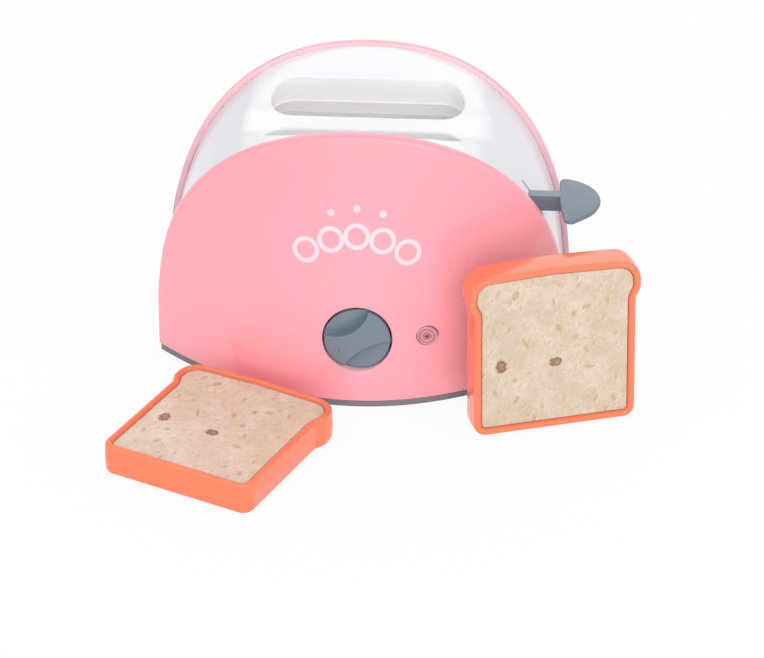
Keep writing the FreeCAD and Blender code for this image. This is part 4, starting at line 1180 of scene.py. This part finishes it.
class TOASTER_OT_slices(bpy.types.Operator):
    """Two toy bread slices: orange crust rings and printed crumb faces"""
    bl_idname = "toaster.slices"
    bl_label = "Bread slices"

    def execute(self, context):
        colours = context.scene.toaster_colours
        crust = shaded_crust_finish(colours.crust)
        ring, inset = crust_parts()
        faces = face_parts()
        section = np.stack([ring[0][:, 1], inset], 1)
        flat = np.concatenate([points for points, _ in faces])[:, ::2]
        # painted light and shade: the standing slice's crumb is a darker copy (0.91) and the lying
        # slice's a paler copy (1.04) of one crumb colour, for the different light on the two faces
        for name, place, tone in (("standing", stand_up, 0.91), ("lying", lie_down, 1.04)):
            crumb = bread_face(name + "_crumb", shade(colours.crumb, tone))
            build(name + "_crust_skin", moved([ring], place), crust, name + "_slice",
                  (name + "_slice_crust",), uv=("section_mm", section), mend=True)
            build(name + "_crumb_skin", moved(faces, place), crumb, name + "_slice",
                  (name + "_slice_faces",), uv=("slice_mm", flat), mend=True)
        return {"FINISHED"}


# ---- inner parts


class TOASTER_OT_inside(bpy.types.Operator):
    """Lift, latch, timer, lamp circuit, batteries and fasteners"""
    bl_idname = "toaster.inside"
    bl_label = "Inner parts and fasteners"

    def execute(self, context):
        bright = metal("spring_steel", (0.74, 0.74, 0.76), 0.2)
        for finish, nodes in (
                (moulded("natural_plastic", (0.78, 0.77, 0.74), 0.5, grain=0.2),
                 ("bread_carriage", "latch_hook", "timer_shaft", "timer_housing", "battery_box")),
                (metal("screw_steel", (0.62, 0.62, 0.64), 0.32),
                 ("guide_rods", "latch_pin", "timer_screws", "battery_door_screw",
                  "front_cover_screws", "rear_cover_screws", "base_screws")),
                (bright, ("battery_contacts",)),
                (moulded("board_green", (0.03, 0.16, 0.06), 0.45, grain=0.2),
                 ("circuit_board", "lamp_switch")),
                (moulded("cell_wrap", (0.05, 0.05, 0.06), 0.3, coat=0.3), ("batteries",)),
                (moulded("led_red", (0.75, 0.06, 0.05), 0.2, coat=0.4), ("led_lamp",))):
            for node in nodes:
                paint(node, finish)
        spring = dress("lift_spring", bright, "body")
        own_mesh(spring)
        return {"FINISHED"}


# ---- stage

CAMERA_PLACE = Vector((0.11242, -1.52545, 0.92237))
CAMERA_AZIMUTH = 0.068308
CAMERA_ELEVATION = 0.543155
CAMERA_ROLL = -0.0027
CAMERA_LENS = 165.92
WORLD_LIGHT = 0.66
FLOOR_HALF = 3.0
FLOOR_Z = -0.00015
FLOOR_GLOW = 0.9
LIGHTS = (
    ("overhead", (0.0, 0.3, 1.3), (0, 0, 0), (1.6, 1.3), 3.3),
    ("rear", (0.0, 1.7, 1.0), (0, 0, 0.1), (1.8, 0.8), 4.0),
    ("key", (0.2, -1.7, 1.1), (0, 0, 0.06), (1.3, 1.0), 10.6),
    ("fill", (0.25, -1.5, 0.22), (0, 0, 0.05), (1.5, 0.4), 3.6),
    ("right", (1.3, -0.6, 0.7), (0, 0, 0.05), (0.9, 0.9), 3.0),
    ("left", (-1.3, -0.8, 0.5), (0, 0, 0.05), (0.9, 0.9), 2.4),
)
NO_REFLECTION = ("fill",)


def soft_light(name, place, target, size, power):
    """A rectangular lamp at a place, aimed at a target."""
    data = bpy.data.lights.new(name, "AREA")
    data.shape = "RECTANGLE"
    data.size, data.size_y = size
    data.energy = power
    lamp = bpy.data.objects.new(name, data)
    lamp.location = place
    lamp.rotation_euler = (Vector(target) - Vector(place)).to_track_quat("-Z", "Y").to_euler()
    lamp.visible_glossy = name not in NO_REFLECTION
    bpy.context.scene.collection.objects.link(lamp)


def camera_frame():
    """The camera's axes as columns: right and up turned by the roll, back against the view."""
    cos, sin = math.cos, math.sin
    a, e, r = CAMERA_AZIMUTH, CAMERA_ELEVATION, CAMERA_ROLL
    forward = Vector((-sin(a) * cos(e), cos(a) * cos(e), -sin(e)))
    right = Vector((cos(a), sin(a), 0))
    up = right.cross(forward)
    axes = (right * cos(r) + up * sin(r), up * cos(r) - right * sin(r), -forward)
    place = Matrix(axes).transposed().to_4x4()
    place.translation = CAMERA_PLACE
    return place


class TOASTER_OT_stage(bpy.types.Operator):
    """Pale floor, soft studio light and the camera"""
    bl_idname = "toaster.stage"
    bl_label = "Stage"

    def execute(self, context):
        scene = context.scene
        scene.view_settings.view_transform = "Standard"
        world = bpy.data.worlds.new("studio")
        world.use_nodes = True
        scene.world = world
        studio = Tree(world.node_tree)
        back = studio.nodes["Background"]
        studio.put(back.inputs["Color"], (1, 1, 1))
        studio.put(back.inputs["Strength"], WORLD_LIGHT + studio.seen() * (1.0 - WORLD_LIGHT))

        mesh = bpy.data.meshes.new("floor")
        mesh.from_pydata([(x * FLOOR_HALF, y * FLOOR_HALF, FLOOR_Z) for x, y in (
            (-1, -1), (1, -1), (1, 1), (-1, 1))], [], [(0, 1, 2, 3)])
        floor = bpy.data.objects.new("floor", mesh)
        scene.collection.objects.link(floor)
        pale = Finish("floor_pale", base_color=(0.92, 0.92, 0.92), roughness=0.9)
        glow = pale.add("ShaderNodeEmission", None, {"Color": (1, 1, 1), "Strength": 1.0})
        mixed = pale.add("ShaderNodeMixShader", None, {
            0: pale.seen() * FLOOR_GLOW, 1: pale.surface.outputs[0], 2: glow.outputs[0]})
        pale.links.new(mixed.outputs[0], pale.nodes["Material Output"].inputs["Surface"])
        mesh.materials.append(pale.material)

        for light in LIGHTS:
            soft_light(*light)

        data = bpy.data.cameras.new("camera")
        data.sensor_width = 36.0
        data.lens = CAMERA_LENS
        data.clip_start, data.clip_end = 0.05, 20.0
        camera = bpy.data.objects.new("camera", data)
        scene.collection.objects.link(camera)
        camera.matrix_world = camera_frame()
        scene.camera = camera
        return {"FINISHED"}


# ---- panel

STEPS = (TOASTER_OT_covers, TOASTER_OT_body, TOASTER_OT_base, TOASTER_OT_controls,
         TOASTER_OT_slices, TOASTER_OT_inside, TOASTER_OT_stage)


class TOASTER_PT_panel(bpy.types.Panel):
    """Lists the steps that dress the toaster."""
    bl_label = "Toaster"
    bl_idname = "TOASTER_PT_panel"
    bl_space_type = "VIEW_3D"
    bl_region_type = "UI"
    bl_category = "Toaster"

    def draw(self, context):
        for settings in (context.scene.toaster_sizes, context.scene.toaster_colours):
            box = self.layout.box()
            for key in settings.__annotations__:
                box.prop(settings, key)
        for step in STEPS:
            self.layout.operator(step.bl_idname)


CLASSES = (ToasterSizes, ToasterColours, *STEPS, TOASTER_PT_panel)


def register():
    for item in CLASSES:
        bpy.utils.register_class(item)
    bpy.types.Scene.toaster_sizes = bpy.props.PointerProperty(type=ToasterSizes)
    bpy.types.Scene.toaster_colours = bpy.props.PointerProperty(type=ToasterColours)


def unregister():
    del bpy.types.Scene.toaster_colours
    del bpy.types.Scene.toaster_sizes
    for item in reversed(CLASSES):
        bpy.utils.unregister_class(item)


def main():
    register()
    for step in STEPS:
        group, name = step.bl_idname.split(".")
        getattr(getattr(bpy.ops, group), name)()


if __name__ == "__main__":
    main()
